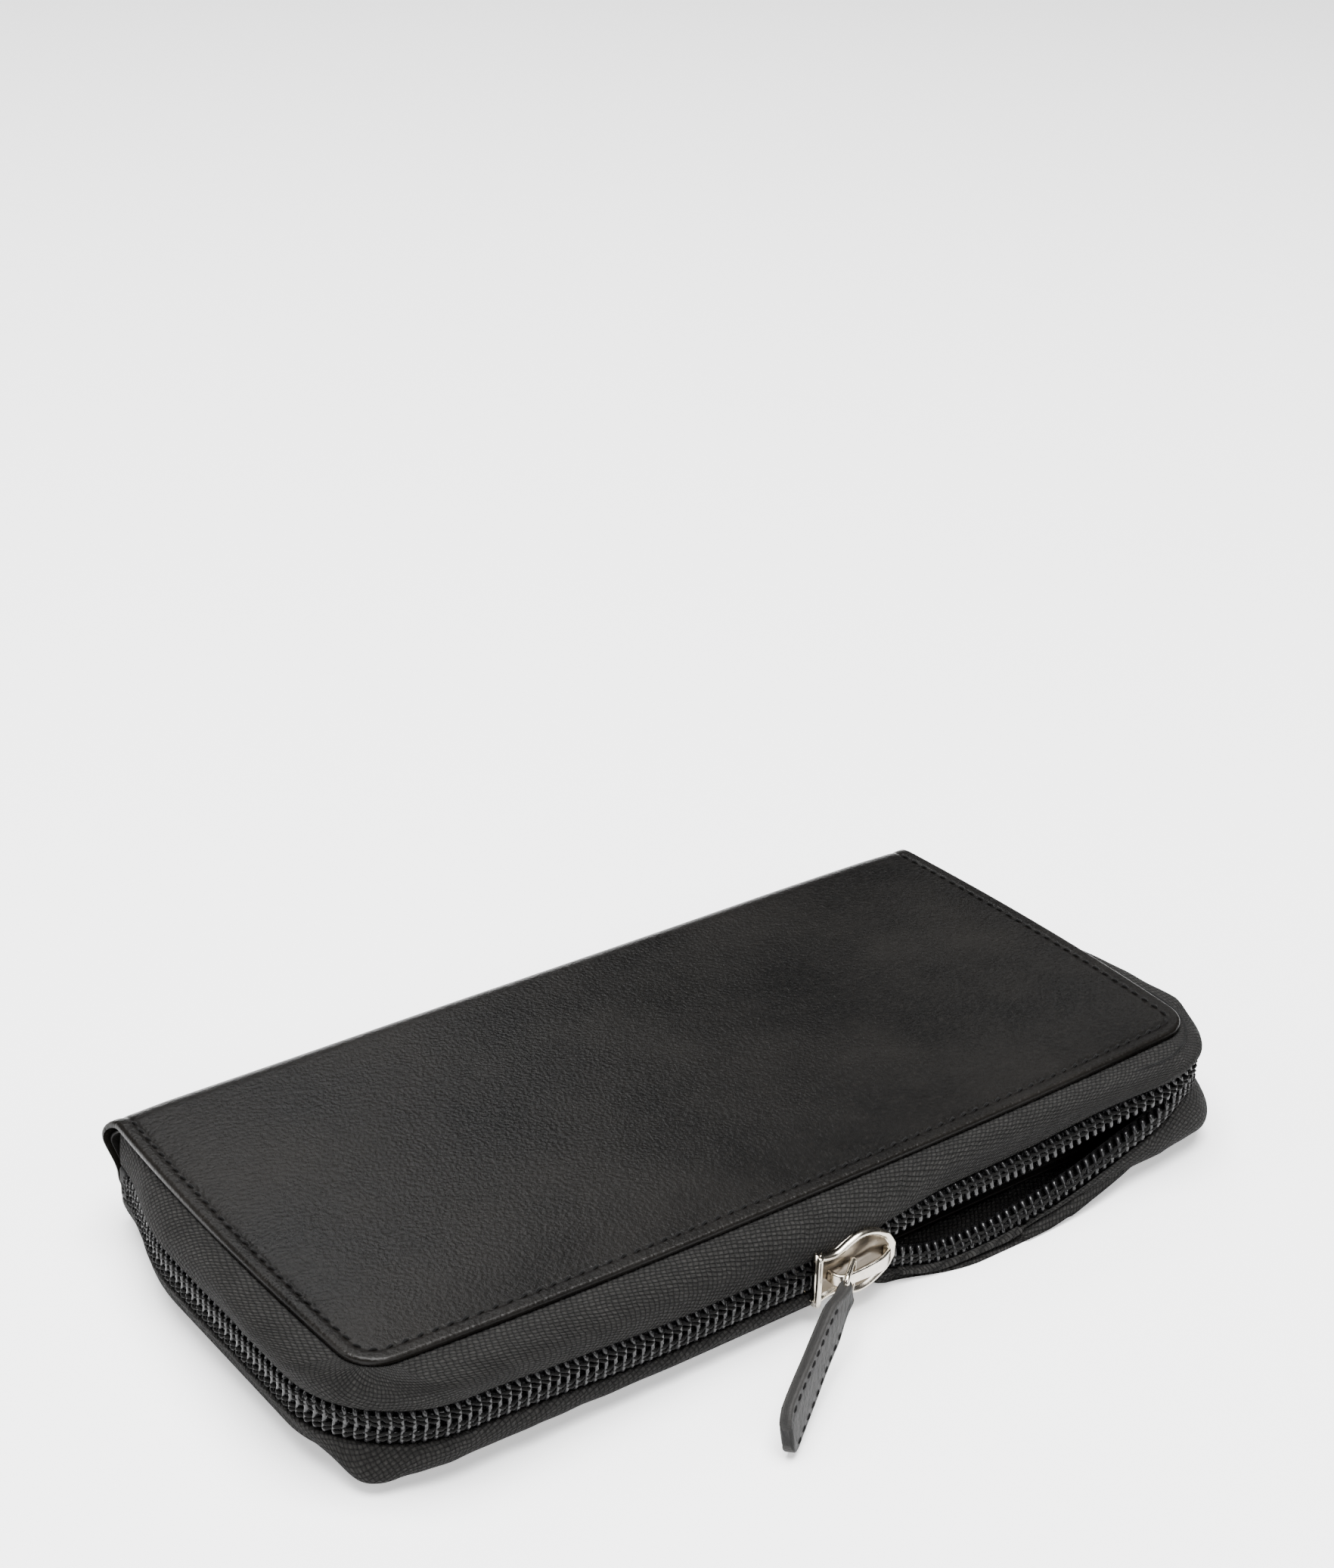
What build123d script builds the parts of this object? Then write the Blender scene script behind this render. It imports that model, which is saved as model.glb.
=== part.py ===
"""Zip-around long wallet, closed and lying flat, as separate sewn and cast pieces.

Millimetres. X runs along the wallet, Y towards the spine, Z up. The origin is on the underside
of the back cover. The back half lies below, the front half above, and the spine joins them.
"""
from build123d import *
import os

# ---- overall sizes -------------------------------------------------------------------------
LENGTH = 195.0            # leather cover, along the spine
FRONT = -49.5             # leather cover's front edge
COVER_BACK = 41.2         # where a cover stops, beside the spine
THICKNESS = 26.0          # closed wallet over both covers
SPINE_BACK = 46.0         # outermost line of the spine
COVER_RADIUS = 7.0        # rounded front corners of the covers

# ---- sheet thicknesses ---------------------------------------------------------------------
LEATHER = 1.2
BOARD = 0.8
LINING = 0.6
THIN_LEATHER = 0.5
CLEARANCE = 0.3           # between pieces that move apart

# ---- zip wall in plan ----------------------------------------------------------------------
ZIP_X = 104.0             # outer face of the coils at the short sides
ZIP_FRONT = -57.0         # outer face of the coils at the front
ZIP_RADIUS = 24.0
ZIP_END = 36.0            # the zip stops here, beside the spine
COIL_DEPTH = 2.6
TAPE_DEPTH = 0.7
WALL_DEPTH = 1.0
ROW_HEIGHT = 4.0
TAPE_HEIGHT = 8.0
WALL_SETBACK = 4.5        # from a row's meeting edge to the edge of its gusset
FLANGE_INSET = 3.0        # how far the gusset runs under the leather
STRAIGHT = ZIP_X - ZIP_RADIUS

# ---- zip wall seen from the front ----------------------------------------------------------
MIDDLE = THICKNESS / 2
SAG = 10.0                # height of the closed chain at the slider
PARTING_X = 9.0           # the rows part here
REACH = 112.0             # beyond the zip at both ends
GAP_SHAPE = {             # the open stretch: distance along the wallet, height of the meeting edge
    "back": ((20.0, 7.0), (38.0, 6.3), (62.0, 8.6)),
    "front": ((20.0, 11.9), (40.0, 12.3), (64.0, 12.7)),
}

# ---- card pockets --------------------------------------------------------------------------
CARD_SIDE = 36.5          # edge of the card column beside the spine
CARD_FREE = -26.5         # its other edge
FIRST_SLOT_X = 82.0
SLOT_PITCH = 11.06
SLOT_COUNT = 9
SLOT_OVERLAP = 1.4
SLOT_RISE = 0.63
POCKET_END = -92.0        # closed end of every pocket

# ---- coin pocket ---------------------------------------------------------------------------
COIN_Y = -37.5            # centre line of its zip
COIN_START = -90.0
COIN_STOP = 90.0
COIN_ROW = 2.0
COIN_COIL_HEIGHT = 1.3
COIN_SLIDER_X = 82.0
COIN_PIN_X = 81.3         # the bar of the pull, under the slider's bridge

# ---- page ----------------------------------------------------------------------------------
PAGE_PIVOT = (41.0, 13.4)
PAGE_SPINE = 38.0
PAGE_FREE = -26.0
PAGE_TOP_FREE = 68.0
PAGE_TOP_SPINE = 82.0
PAGE_PLY = 0.8
PAGE_SLOTS = 6

# ---- slider and pull -----------------------------------------------------------------------
SLIDER_REAR = -5.5
SLIDER_NOSE = 14.0
SLIDER_Z = 10.4
PLATE = 1.2
PLATE_Y = ZIP_FRONT - CLEARANCE - PLATE
BRIDGE_Y = PLATE_Y - 3.3
RING_PIVOT = (2.6, PLATE_Y - 1.3)
RING_TURN = 40.0          # direction of the ring, from -X towards -Y, in degrees
RING_LENGTH = 7.5
RING_WIDTH = 6.4
WIRE = 0.55
TAB_TURN = 35.0
TAB_LENGTH = 36.5
TAB_WIDTH = 8.4
TAB_THICKNESS = 2.5
TAB_EYE = WIRE + 0.09      # the fold that holds the ring
TAB_DROP = 5.9            # how much lower the tip of the leather pull lies than its ring


def save(part, name):
    """Write one finished piece."""
    part.label = name
    export_step(part, f"parts/{name}.step")


def sheet(name, x_range, y_range, z_range, corner=0.0):
    """A flat sheet whose two front corners may be rounded."""
    x_low, x_high = x_range
    y_low, y_high = y_range
    z_low, z_high = z_range
    with BuildPart() as piece:
        with BuildSketch(Plane.XY.offset(z_low)):
            with BuildLine():
                Polyline((x_low, y_high), (x_low, y_low), (x_high, y_low), (x_high, y_high), close=True)
            make_face()
        extrude(amount=z_high - z_low)
        if corner:
            fillet(piece.edges().filter_by(Axis.Z).group_by(Axis.Y)[0], radius=corner)
    save(piece.part, name)


def mirrored(half, z):
    """Height z on the back half, or the matching height on the front half."""
    return z if half == "back" else THICKNESS - z


def span(half, z_low, z_high):
    """A height range on the back half, or the matching one on the front half, lowest first."""
    return tuple(sorted((mirrored(half, z_low), mirrored(half, z_high))))


# ---- the two halves ------------------------------------------------------------------------
def wall_plan(inset, end=ZIP_END):
    """Area inside the zip wall in plan, moved inwards by inset, open towards the spine."""
    side = ZIP_X - inset
    front = ZIP_FRONT + inset
    with BuildSketch() as plan:
        with BuildLine():
            FilletPolyline((-side, end), (-side, front), (side, front), (side, end), radius=ZIP_RADIUS - inset)
            Line((side, end), (-side, end))
        make_face()
    return plan.sketch


def row_edge(half, shift):
    """The edge where one zip row meets the other, seen from the front and raised by shift."""
    level = shift + (CLEARANCE / 2 if half == "front" else -CLEARANCE / 2)
    corner = (-STRAIGHT, MIDDLE + level)
    parting = (PARTING_X, SAG + level)
    far_corner = (STRAIGHT, MIDDLE + level)
    open_edge = [(x, z + shift) for x, z in GAP_SHAPE[half]]
    slope = (SAG - MIDDLE) / (PARTING_X + STRAIGHT)
    Line((-REACH, MIDDLE + level), corner)
    Line(corner, parting)
    Spline(parting, *open_edge, far_corner, tangents=((1, slope), (1, 0)))
    Line(far_corner, (REACH, MIDDLE + level))


def zip_zone(half, near, far):
    """Area between two distances from a row's meeting edge, measured towards its own cover."""
    towards_cover = 1 if half == "front" else -1
    level = MIDDLE + towards_cover * CLEARANCE / 2
    near_z = level + towards_cover * near
    far_z = level + towards_cover * far
    with BuildSketch(Plane.XZ) as zone:
        with BuildLine():
            row_edge(half, towards_cover * near)
            row_edge(half, towards_cover * far)
            Line((-REACH, near_z), (-REACH, far_z))
            Line((REACH, near_z), (REACH, far_z))
        make_face()
    return zone.sketch


def zip_band(name, half, outer, inner, near, far):
    """One band of a half's zip wall: between two insets in plan, and two distances from the meeting edge."""
    with BuildPart() as band:
        with BuildSketch(Plane.XY.offset(LEATHER)):
            add(wall_plan(outer))
            add(wall_plan(inner, ZIP_END + 1), mode=Mode.SUBTRACT)
        extrude(amount=THICKNESS - 2 * LEATHER)
        extrude(zip_zone(half, near, far), amount=REACH, both=True, mode=Mode.INTERSECT)
    save(band.part, name)


def gusset(half):
    """Fabric gusset: a flange sewn under the leather, and a wall that carries the zip tape."""
    outer = COIL_DEPTH + TAPE_DEPTH
    inner = outer + WALL_DEPTH
    flange_low = span(half, LEATHER, LEATHER + BOARD)[0]
    with BuildPart() as piece:
        with BuildSketch(Plane.XY.offset(LEATHER)):
            add(wall_plan(outer))
            add(wall_plan(inner, ZIP_END + 1), mode=Mode.SUBTRACT)
        extrude(amount=THICKNESS - 2 * LEATHER)
        extrude(zip_zone(half, WALL_SETBACK, THICKNESS), amount=REACH, both=True, mode=Mode.INTERSECT)
        with BuildSketch(Plane.XY.offset(flange_low)):
            add(wall_plan(outer))
            add(flange_hole(), mode=Mode.SUBTRACT)
        extrude(amount=BOARD)
    save(piece.part, f"{half}_gusset")


def flange_hole():
    """Inner edge of the gusset's flange: the leather's outline moved inwards."""
    side = LENGTH / 2 - FLANGE_INSET
    front = FRONT + FLANGE_INSET
    with BuildSketch() as hole:
        with BuildLine():
            Polyline((-side, ZIP_END + 1), (-side, front), (side, front), (side, ZIP_END + 1), close=True)
        make_face()
    return hole.sketch


def cover(half):
    """Outer leather, board and lining of one half."""
    side = LENGTH / 2
    board_side = side - FLANGE_INSET - 0.1
    lining_inset = COIL_DEPTH + TAPE_DEPTH + WALL_DEPTH + 2.4
    board_top = LEATHER + BOARD
    sheet(f"{half}_cover_leather", (-side, side), (FRONT, COVER_BACK), span(half, 0, LEATHER), COVER_RADIUS)
    sheet(f"{half}_board", (-board_side, board_side), (FRONT + FLANGE_INSET + 0.1, PAGE_SPINE),
          span(half, LEATHER, board_top))
    sheet(f"{half}_lining", (lining_inset - ZIP_X, ZIP_X - lining_inset),
          (ZIP_FRONT + lining_inset, PAGE_SPINE), span(half, board_top, board_top + LINING),
          ZIP_RADIUS - lining_inset)


def zip_row(half):
    """Coil and tape of one zip row."""
    coil_back = COIL_DEPTH
    zip_band(f"{half}_zip_coil", half, 0.0, coil_back, 0.0, ROW_HEIGHT)
    zip_band(f"{half}_zip_tape", half, coil_back, coil_back + TAPE_DEPTH, 0.4, TAPE_HEIGHT)


def zip_stops(half):
    """Crimped stops where a row ends beside the spine, one at each short side."""
    z_low, z_high = sorted((MIDDLE, MIDDLE + (ROW_HEIGHT if half == "front" else -ROW_HEIGHT)))
    half_gap = CLEARANCE / 2
    with BuildPart() as piece:
        with BuildSketch(Plane.XY.offset(z_low + half_gap)):
            with Locations((ZIP_X - COIL_DEPTH / 2, ZIP_END + 1.5), (COIL_DEPTH / 2 - ZIP_X, ZIP_END + 1.5)):
                Rectangle(COIL_DEPTH, 3.0)
        extrude(amount=z_high - z_low - 2 * half_gap)
        fillet(piece.edges().filter_by(Axis.Z), radius=0.8)
    save(piece.part, f"{half}_zip_stops")


# ---- spine ---------------------------------------------------------------------------------
def spine_layer(name, side, inset, thickness, foot):
    """A U-shaped layer of the spine, inset from the outer leather face."""
    low = CLEARANCE + 0.1 + inset
    back = SPINE_BACK - inset
    radius = 4.0 - inset
    high = THICKNESS - low
    with BuildPart() as piece:
        with BuildSketch(Plane.YZ.offset(-side)):
            with BuildLine():
                FilletPolyline((foot, low), (back, low), (back, high), (foot, high), radius=radius)
                FilletPolyline((foot, low + thickness), (back - thickness, low + thickness),
                               (back - thickness, high - thickness), (foot, high - thickness),
                               radius=radius - thickness)
                Line((foot, low), (foot, low + thickness))
                Line((foot, high), (foot, high - thickness))
            make_face()
        extrude(amount=2 * side)
    save(piece.part, name)


# ---- card pockets --------------------------------------------------------------------------
def shingle(name, x_low, x_high, y_range, z_base, upwards=1):
    """One pocket leaf: its mouth edge at x_high stands a little proud of the leaf beyond it."""
    y_low, y_high = y_range
    tilt = upwards * SLOT_RISE
    thick = upwards * THIN_LEATHER
    with BuildPart() as leaf:
        with BuildSketch(Plane.XZ.offset(-y_high)):
            with BuildLine():
                Polyline((x_low, z_base), (x_high, z_base + tilt), (x_high, z_base + tilt + thick),
                         (x_low, z_base + thick), close=True)
            make_face()
        extrude(amount=y_high - y_low)
    save(leaf.part, name)


def card_pockets():
    """Backing panel and overlapping leaves of the card column on the back half."""
    floor = LEATHER + BOARD + LINING
    base = floor + 0.4
    column = (CARD_FREE, CARD_SIDE)
    sheet("card_backing", (POCKET_END, FIRST_SLOT_X + 9), column, (floor, base))
    for index in range(SLOT_COUNT):
        mouth = FIRST_SLOT_X - index * SLOT_PITCH
        foot = mouth - SLOT_PITCH - SLOT_OVERLAP
        if index == SLOT_COUNT - 1:
            foot = POCKET_END
        shingle(f"card_slot_{index + 1}", foot, mouth, column, base + 0.02)


# ---- coin pocket ---------------------------------------------------------------------------
def coin_pocket():
    """Flat bag, leather strips, and the two rows of the small zip."""
    floor = LEATHER + BOARD + LINING
    bag_top = floor + 0.4
    tape_top = bag_top + 0.5
    strip_top = tape_top + 0.7
    bag = (COIN_START - 1, COIN_STOP + 1)
    slit = 3.2
    edge = 0.15
    outer_edge = -48.0
    sheet("coin_pocket_bag", bag, (outer_edge, CARD_FREE - 0.2), (floor, bag_top))
    sheet("coin_tape_inner", bag, (COIN_Y + edge, COIN_Y + 6), (bag_top, tape_top))
    sheet("coin_tape_outer", bag, (COIN_Y - 6, COIN_Y - edge), (bag_top, tape_top))
    sheet("coin_strip_inner", bag, (COIN_Y + slit, CARD_FREE - 0.2), (tape_top, strip_top))
    sheet("coin_strip_outer", bag, (outer_edge, COIN_Y - slit), (tape_top, strip_top))
    row = (COIN_START + 3, COIN_STOP - 3)
    coil_top = tape_top + COIN_COIL_HEIGHT
    sheet("coin_coil_inner", row, (COIN_Y + edge, COIN_Y + COIN_ROW), (tape_top, coil_top))
    sheet("coin_coil_outer", row, (COIN_Y - COIN_ROW, COIN_Y - edge), (tape_top, coil_top))
    with BuildPart() as stops:
        with BuildSketch(Plane.XY.offset(tape_top)):
            with Locations((row[0] - 1, COIN_Y), (row[1] + 1, COIN_Y)):
                Rectangle(1.6, 2 * COIN_ROW)
        extrude(amount=COIN_COIL_HEIGHT)
    save(stops.part, "coin_zip_stops")
    return tape_top, coil_top


def coin_slider(tape_top, coil_top):
    """Small slider: a plate over the coils with side flanges and a bridge for its pull."""
    gap, plate, flange = 0.2, 0.8, 0.5
    rear, shoulder, nose = COIN_SLIDER_X - 4, COIN_SLIDER_X + 1, COIN_SLIDER_X + 4
    rear_half, nose_half = 2.4, 1.6
    half_width = COIN_ROW + gap + 0.7
    plate_low = coil_top + gap
    plate_high = plate_low + plate
    bridge_low, bridge_top = plate_low + plate / 2, plate_high + 2.0
    bridge_width = 1.6
    pin_room = (2.2, 1.2)
    with BuildPart() as slider:
        with BuildSketch(Plane.XY.offset(plate_low)):
            with BuildLine():
                Polyline((rear, COIN_Y - rear_half), (shoulder, COIN_Y - half_width),
                         (nose, COIN_Y - nose_half), (nose, COIN_Y + nose_half),
                         (shoulder, COIN_Y + half_width), (rear, COIN_Y + rear_half), close=True)
            make_face()
        extrude(amount=plate_high - plate_low)
        with BuildSketch(Plane.XY.offset(tape_top + gap)):
            with Locations(Location((COIN_SLIDER_X, COIN_Y))):
                with GridLocations(1, 2 * half_width - flange, 1, 2):
                    Rectangle(4.0, flange)
        extrude(amount=plate_high - tape_top - gap)
        with BuildSketch(Plane.XZ.offset(-COIN_Y - bridge_width / 2)):
            with BuildLine():
                Polyline((COIN_SLIDER_X - 3.2, bridge_low), (COIN_SLIDER_X - 2.2, bridge_top),
                         (COIN_SLIDER_X + 1.8, bridge_top), (COIN_SLIDER_X + 3.2, bridge_low), close=True)
            make_face()
        extrude(amount=bridge_width)
        with BuildSketch(Plane.XZ.offset(-COIN_Y - bridge_width)):
            with Locations((COIN_PIN_X, plate_high + pin_room[1] / 2 + 0.02)):
                Rectangle(*pin_room)
        extrude(amount=2 * bridge_width, mode=Mode.SUBTRACT)
    save(slider.part, "coin_slider_body")
    return plate_high


def coin_pull(plate_high):
    """Drop-shaped tab: a bar under the bridge, two cheeks beside it, and a blade with a round hole."""
    low = plate_high + 0.2
    thick = 0.7
    bar = thick / 2
    bar_half, neck_half, blade_half, tip_half = 1.9, 1.7, 3.4, 2.0
    bridge_slot = (3.2, 2.0)
    front = COIN_PIN_X + bar
    neck = COIN_PIN_X - 5
    blade_end = COIN_PIN_X - 20.5
    blade_wide = blade_end + 3
    slot_x = COIN_PIN_X - bar - bridge_slot[0] / 2
    with BuildPart() as tab:
        with BuildSketch(Plane.XY.offset(low)):
            with BuildLine():
                Polyline((front, COIN_Y - bar_half), (front, COIN_Y + bar_half), (neck, COIN_Y + neck_half),
                         (blade_wide, COIN_Y + blade_half), (blade_end, COIN_Y + tip_half),
                         (blade_end, COIN_Y - tip_half), (blade_wide, COIN_Y - blade_half),
                         (neck, COIN_Y - neck_half), close=True)
            make_face()
            with Locations((blade_end + blade_half, COIN_Y)):
                Circle(2.2, mode=Mode.SUBTRACT)
            with Locations((slot_x, COIN_Y)):
                Rectangle(*bridge_slot, mode=Mode.SUBTRACT)
        extrude(amount=thick)
    save(tab.part, "coin_pull_tab")


# ---- window and bill pocket ----------------------------------------------------------------
def window_side():
    """Bill pocket panel with its window, the clear sheet behind it, and the pocket's fabric."""
    floor = LEATHER + BOARD + LINING
    panel_top = floor + 1.6
    x_range = (POCKET_END, 85.0)
    y_range = (-47.0, CARD_SIDE)
    window_x = (-76.5, 72.0)
    window_y = (-42.5, 32.5)
    low, high = span("front", panel_top - 0.6, panel_top)
    with BuildPart() as panel:
        with BuildSketch(Plane.XY.offset(low)):
            with BuildLine():
                Polyline((x_range[0], y_range[0]), (x_range[1], y_range[0]),
                         (x_range[1], y_range[1]), (x_range[0], y_range[1]), close=True)
            make_face()
            with BuildLine():
                Polyline((window_x[0], window_y[0]), (window_x[1], window_y[0]),
                         (window_x[1], window_y[1]), (window_x[0], window_y[1]), close=True)
            make_face(mode=Mode.SUBTRACT)
        extrude(amount=high - low)
    save(panel.part, "bill_pocket_panel")
    sheet("clear_window", (window_x[0] - 3, window_x[1] + 3), (window_y[0] - 3, window_y[1] + 3),
          span("front", panel_top - 0.9, panel_top - 0.6))
    sheet("bill_pocket_fabric", (POCKET_END, 84.0), y_range, span("front", floor + 0.3, floor + 0.6))


# ---- card page -----------------------------------------------------------------------------
def page_ply(name, z_range):
    """One leather ply of the page, with its sloping top edge."""
    z_low, z_high = z_range
    with BuildPart() as ply:
        with BuildSketch(Plane.XY.offset(z_low)):
            with BuildLine():
                Polyline((POCKET_END, PAGE_SPINE), (POCKET_END, PAGE_FREE), (PAGE_TOP_FREE, PAGE_FREE),
                         (PAGE_TOP_SPINE, PAGE_SPINE), close=True)
            make_face()
        extrude(amount=z_high - z_low)
    save(ply.part, name)


def card_page():
    """Two-ply page with stepped card pockets towards the back half, hung on the spine by a folded strip."""
    middle = PAGE_PIVOT[1]
    inner_gap = 0.15
    page_ply("page_window_ply", (middle + inner_gap, middle + inner_gap + PAGE_PLY))
    page_ply("page_card_ply", (middle - inner_gap - PAGE_PLY, middle - inner_gap))
    base = middle - inner_gap - PAGE_PLY - 0.02
    first_mouth = 60.0
    pitch = 13.0
    for index in range(PAGE_SLOTS):
        mouth = first_mouth - index * pitch
        foot = mouth - pitch - SLOT_OVERLAP
        if index == PAGE_SLOTS - 1:
            foot = POCKET_END
        shingle(f"page_slot_{index + 1}", foot, mouth, (PAGE_FREE, PAGE_SPINE - 1), base, upwards=-1)
    half = inner_gap + PAGE_PLY
    with BuildPart() as strip:
        with BuildSketch(Plane.YZ.offset(POCKET_END)):
            with BuildLine():
                Polyline((PAGE_PIVOT[0], middle - half), (PAGE_SPINE, middle - half), (PAGE_SPINE, middle + half),
                         (PAGE_PIVOT[0], middle + half))
                RadiusArc((PAGE_PIVOT[0], middle + half), (PAGE_PIVOT[0], middle - half), half)
            make_face()
        extrude(amount=PAGE_TOP_SPINE - POCKET_END)
    save(strip.part, "page_hinge_strip")


# ---- main slider and its pull --------------------------------------------------------------
def main_slider():
    """Slider body: shaped outer plate, flange under the lower row, and a bridge for the ring."""
    rear_half, waist_half, shoulder_half, neck_half, nose_half = 5.6, 4.7, 6.6, 5.0, 2.2
    waist_x, shoulder_x, neck_x = -1.0, 5.0, 11.0
    flange_depth, flange_end, flange_high, flange_step = 2.2, 10.0, 5.7, 0.9
    flange_low = SLIDER_Z - shoulder_half
    bridge_half, bridge_thick = 1.8, 1.0
    bridge_foot = PLATE_Y + CLEARANCE
    ring_room = (0.2, 6.6)
    with BuildPart() as shell:
        with BuildSketch(Plane.XZ.offset(-PLATE_Y - PLATE)):
            with BuildLine():
                Polyline((SLIDER_REAR, SLIDER_Z - rear_half), (waist_x, SLIDER_Z - waist_half),
                         (shoulder_x, SLIDER_Z - shoulder_half), (neck_x, SLIDER_Z - neck_half),
                         (SLIDER_NOSE, SLIDER_Z - nose_half), (SLIDER_NOSE, SLIDER_Z + nose_half),
                         (neck_x, SLIDER_Z + neck_half), (shoulder_x, SLIDER_Z + shoulder_half),
                         (waist_x, SLIDER_Z + waist_half), (SLIDER_REAR, SLIDER_Z + rear_half), close=True)
            make_face()
        extrude(amount=PLATE)
        with BuildSketch(Plane.XZ.offset(-ZIP_FRONT - flange_depth)):
            with BuildLine():
                Polyline((SLIDER_REAR, flange_low), (SLIDER_REAR, flange_high), (0.0, flange_high),
                         (flange_end, flange_low + flange_step), (flange_end, flange_low), close=True)
            make_face()
        extrude(amount=flange_depth + CLEARANCE + PLATE / 2)
        with BuildSketch(Plane.XY.offset(SLIDER_Z - bridge_half)):
            with BuildLine():
                Polyline((-4.0, bridge_foot), (-2.6, BRIDGE_Y), (9.0, BRIDGE_Y), (11.6, bridge_foot), close=True)
            make_face()
            with BuildLine():
                Polyline((ring_room[0], PLATE_Y), (ring_room[0], BRIDGE_Y + bridge_thick),
                         (ring_room[1], BRIDGE_Y + bridge_thick), (ring_room[1], PLATE_Y), close=True)
            make_face(mode=Mode.SUBTRACT)
        extrude(amount=2 * bridge_half)
    save(shell.part, "main_slider_shell")


def slider_inner_plate():
    """The slider's second plate, behind the tapes."""
    inner_y = ZIP_FRONT + COIL_DEPTH + TAPE_DEPTH + CLEARANCE
    thick = 0.8
    height = 6.4
    with BuildPart() as plate:
        with BuildSketch(Plane.XZ.offset(-inner_y - thick)):
            with Locations(((SLIDER_REAR + SLIDER_NOSE) / 2, SLIDER_Z - thick / 2)):
                Rectangle(SLIDER_NOSE - SLIDER_REAR - 4, height)
        extrude(amount=thick)
        fillet(plate.edges().filter_by(Axis.Y), radius=1.5)
    save(plate.part, "main_slider_inner_plate")


def heading(turn):
    """Horizontal direction at an angle from -X towards -Y."""
    return Vector(-1, 0, 0).rotate(Axis.Z, turn)


def pull_ring():
    """Closed wire ring: one bar under the slider's bridge, the other in the fold of the leather pull."""
    direction = heading(RING_TURN)
    start = Vector(*RING_PIVOT, SLIDER_Z)
    middle = start + direction * (RING_LENGTH / 2)
    across = direction.cross(Vector(0, 0, 1))
    with BuildSketch(Plane(origin=middle, x_dir=direction, z_dir=across)) as outline:
        RectangleRounded(RING_LENGTH, RING_WIDTH, 1.2)
    path = outline.sketch.face().outer_wire()
    with BuildPart() as ring:
        with BuildSketch(Plane(path @ 0, z_dir=path % 0)):
            Circle(WIRE)
        sweep(path=path)
    save(ring.part, "pull_ring")
    return start + direction * RING_LENGTH


def leather_pull(ring_end):
    """Leather strip folded round the ring and stitched flat: on edge, sloping down to the table."""
    direction = heading(TAB_TURN)
    across = direction.cross(Vector(0, 0, 1))
    half_w = TAB_WIDTH / 2
    half_t = TAB_THICKNESS / 2
    neck, neck_end, shoulder = 2.3, 2.0, 6.0
    tip_top = half_w - TAB_DROP
    tip_low = -half_w - TAB_DROP
    tip_round = 3.0
    with BuildPart() as pull:
        with BuildSketch(Plane(origin=ring_end, x_dir=direction, z_dir=(0, 0, 1))) as plan:
            with Locations((TAB_LENGTH / 2, 0)):
                Rectangle(TAB_LENGTH, TAB_THICKNESS)
            Circle(half_t + 0.25)
            Circle(TAB_EYE, mode=Mode.SUBTRACT)
        extrude(amount=THICKNESS, both=True)
        with BuildSketch(Plane(origin=ring_end, x_dir=direction, z_dir=across)):
            with BuildLine():
                Polyline((-half_w, -neck), (-half_w, neck), (neck_end, neck), (shoulder, half_w - 0.8),
                         (TAB_LENGTH - tip_round, tip_top), (TAB_LENGTH, tip_top - 2.5), (TAB_LENGTH, tip_low + 1.2),
                         (TAB_LENGTH - 2, tip_low), (shoulder, -half_w - 0.4), (neck_end, -neck), close=True)
            make_face()
        extrude(amount=THICKNESS, both=True, mode=Mode.INTERSECT)
    save(pull.part, "leather_pull")


# ---- build everything ----------------------------------------------------------------------
os.makedirs("parts", exist_ok=True)
for side_name in ("back", "front"):
    cover(side_name)
    gusset(side_name)
    zip_row(side_name)
    zip_stops(side_name)
spine_layer("spine_leather", LENGTH / 2, 0.0, LEATHER, COVER_BACK + 0.6)
spine_layer("spine_lining", LENGTH / 2 - 2, LEATHER, THIN_LEATHER, COVER_BACK + 0.6)
card_pockets()
tape_level, coil_level = coin_pocket()
coin_plate = coin_slider(tape_level, coil_level)
coin_pull(coin_plate)
window_side()
card_page()
main_slider()
slider_inner_plate()
leather_pull(pull_ring())
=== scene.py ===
"""Long zip-around wallet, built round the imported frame. Lengths are millimetres until a mesh is made."""
import bpy
import math
import numpy as np
from mathutils import Matrix, Vector


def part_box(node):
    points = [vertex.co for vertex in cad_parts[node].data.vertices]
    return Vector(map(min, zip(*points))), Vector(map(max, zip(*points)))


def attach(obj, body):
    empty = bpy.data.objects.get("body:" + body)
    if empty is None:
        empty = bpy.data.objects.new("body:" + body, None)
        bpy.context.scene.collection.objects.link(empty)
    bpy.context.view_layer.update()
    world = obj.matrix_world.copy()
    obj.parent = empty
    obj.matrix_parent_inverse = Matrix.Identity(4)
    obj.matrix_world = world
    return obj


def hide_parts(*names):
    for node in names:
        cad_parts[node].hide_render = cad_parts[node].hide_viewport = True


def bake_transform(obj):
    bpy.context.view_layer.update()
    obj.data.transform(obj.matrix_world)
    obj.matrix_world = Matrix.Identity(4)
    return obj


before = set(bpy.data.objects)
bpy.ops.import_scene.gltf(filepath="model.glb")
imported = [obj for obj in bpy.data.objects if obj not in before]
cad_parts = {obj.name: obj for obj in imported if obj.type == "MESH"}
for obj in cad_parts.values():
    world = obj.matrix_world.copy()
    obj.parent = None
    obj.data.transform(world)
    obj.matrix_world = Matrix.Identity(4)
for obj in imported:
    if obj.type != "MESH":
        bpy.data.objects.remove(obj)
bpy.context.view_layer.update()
MM = 0.001


def box_mm(node):
    """Lowest and highest corner of a CAD node, in millimetres."""
    low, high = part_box(node)
    return np.array(low) / MM, np.array(high) / MM


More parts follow.
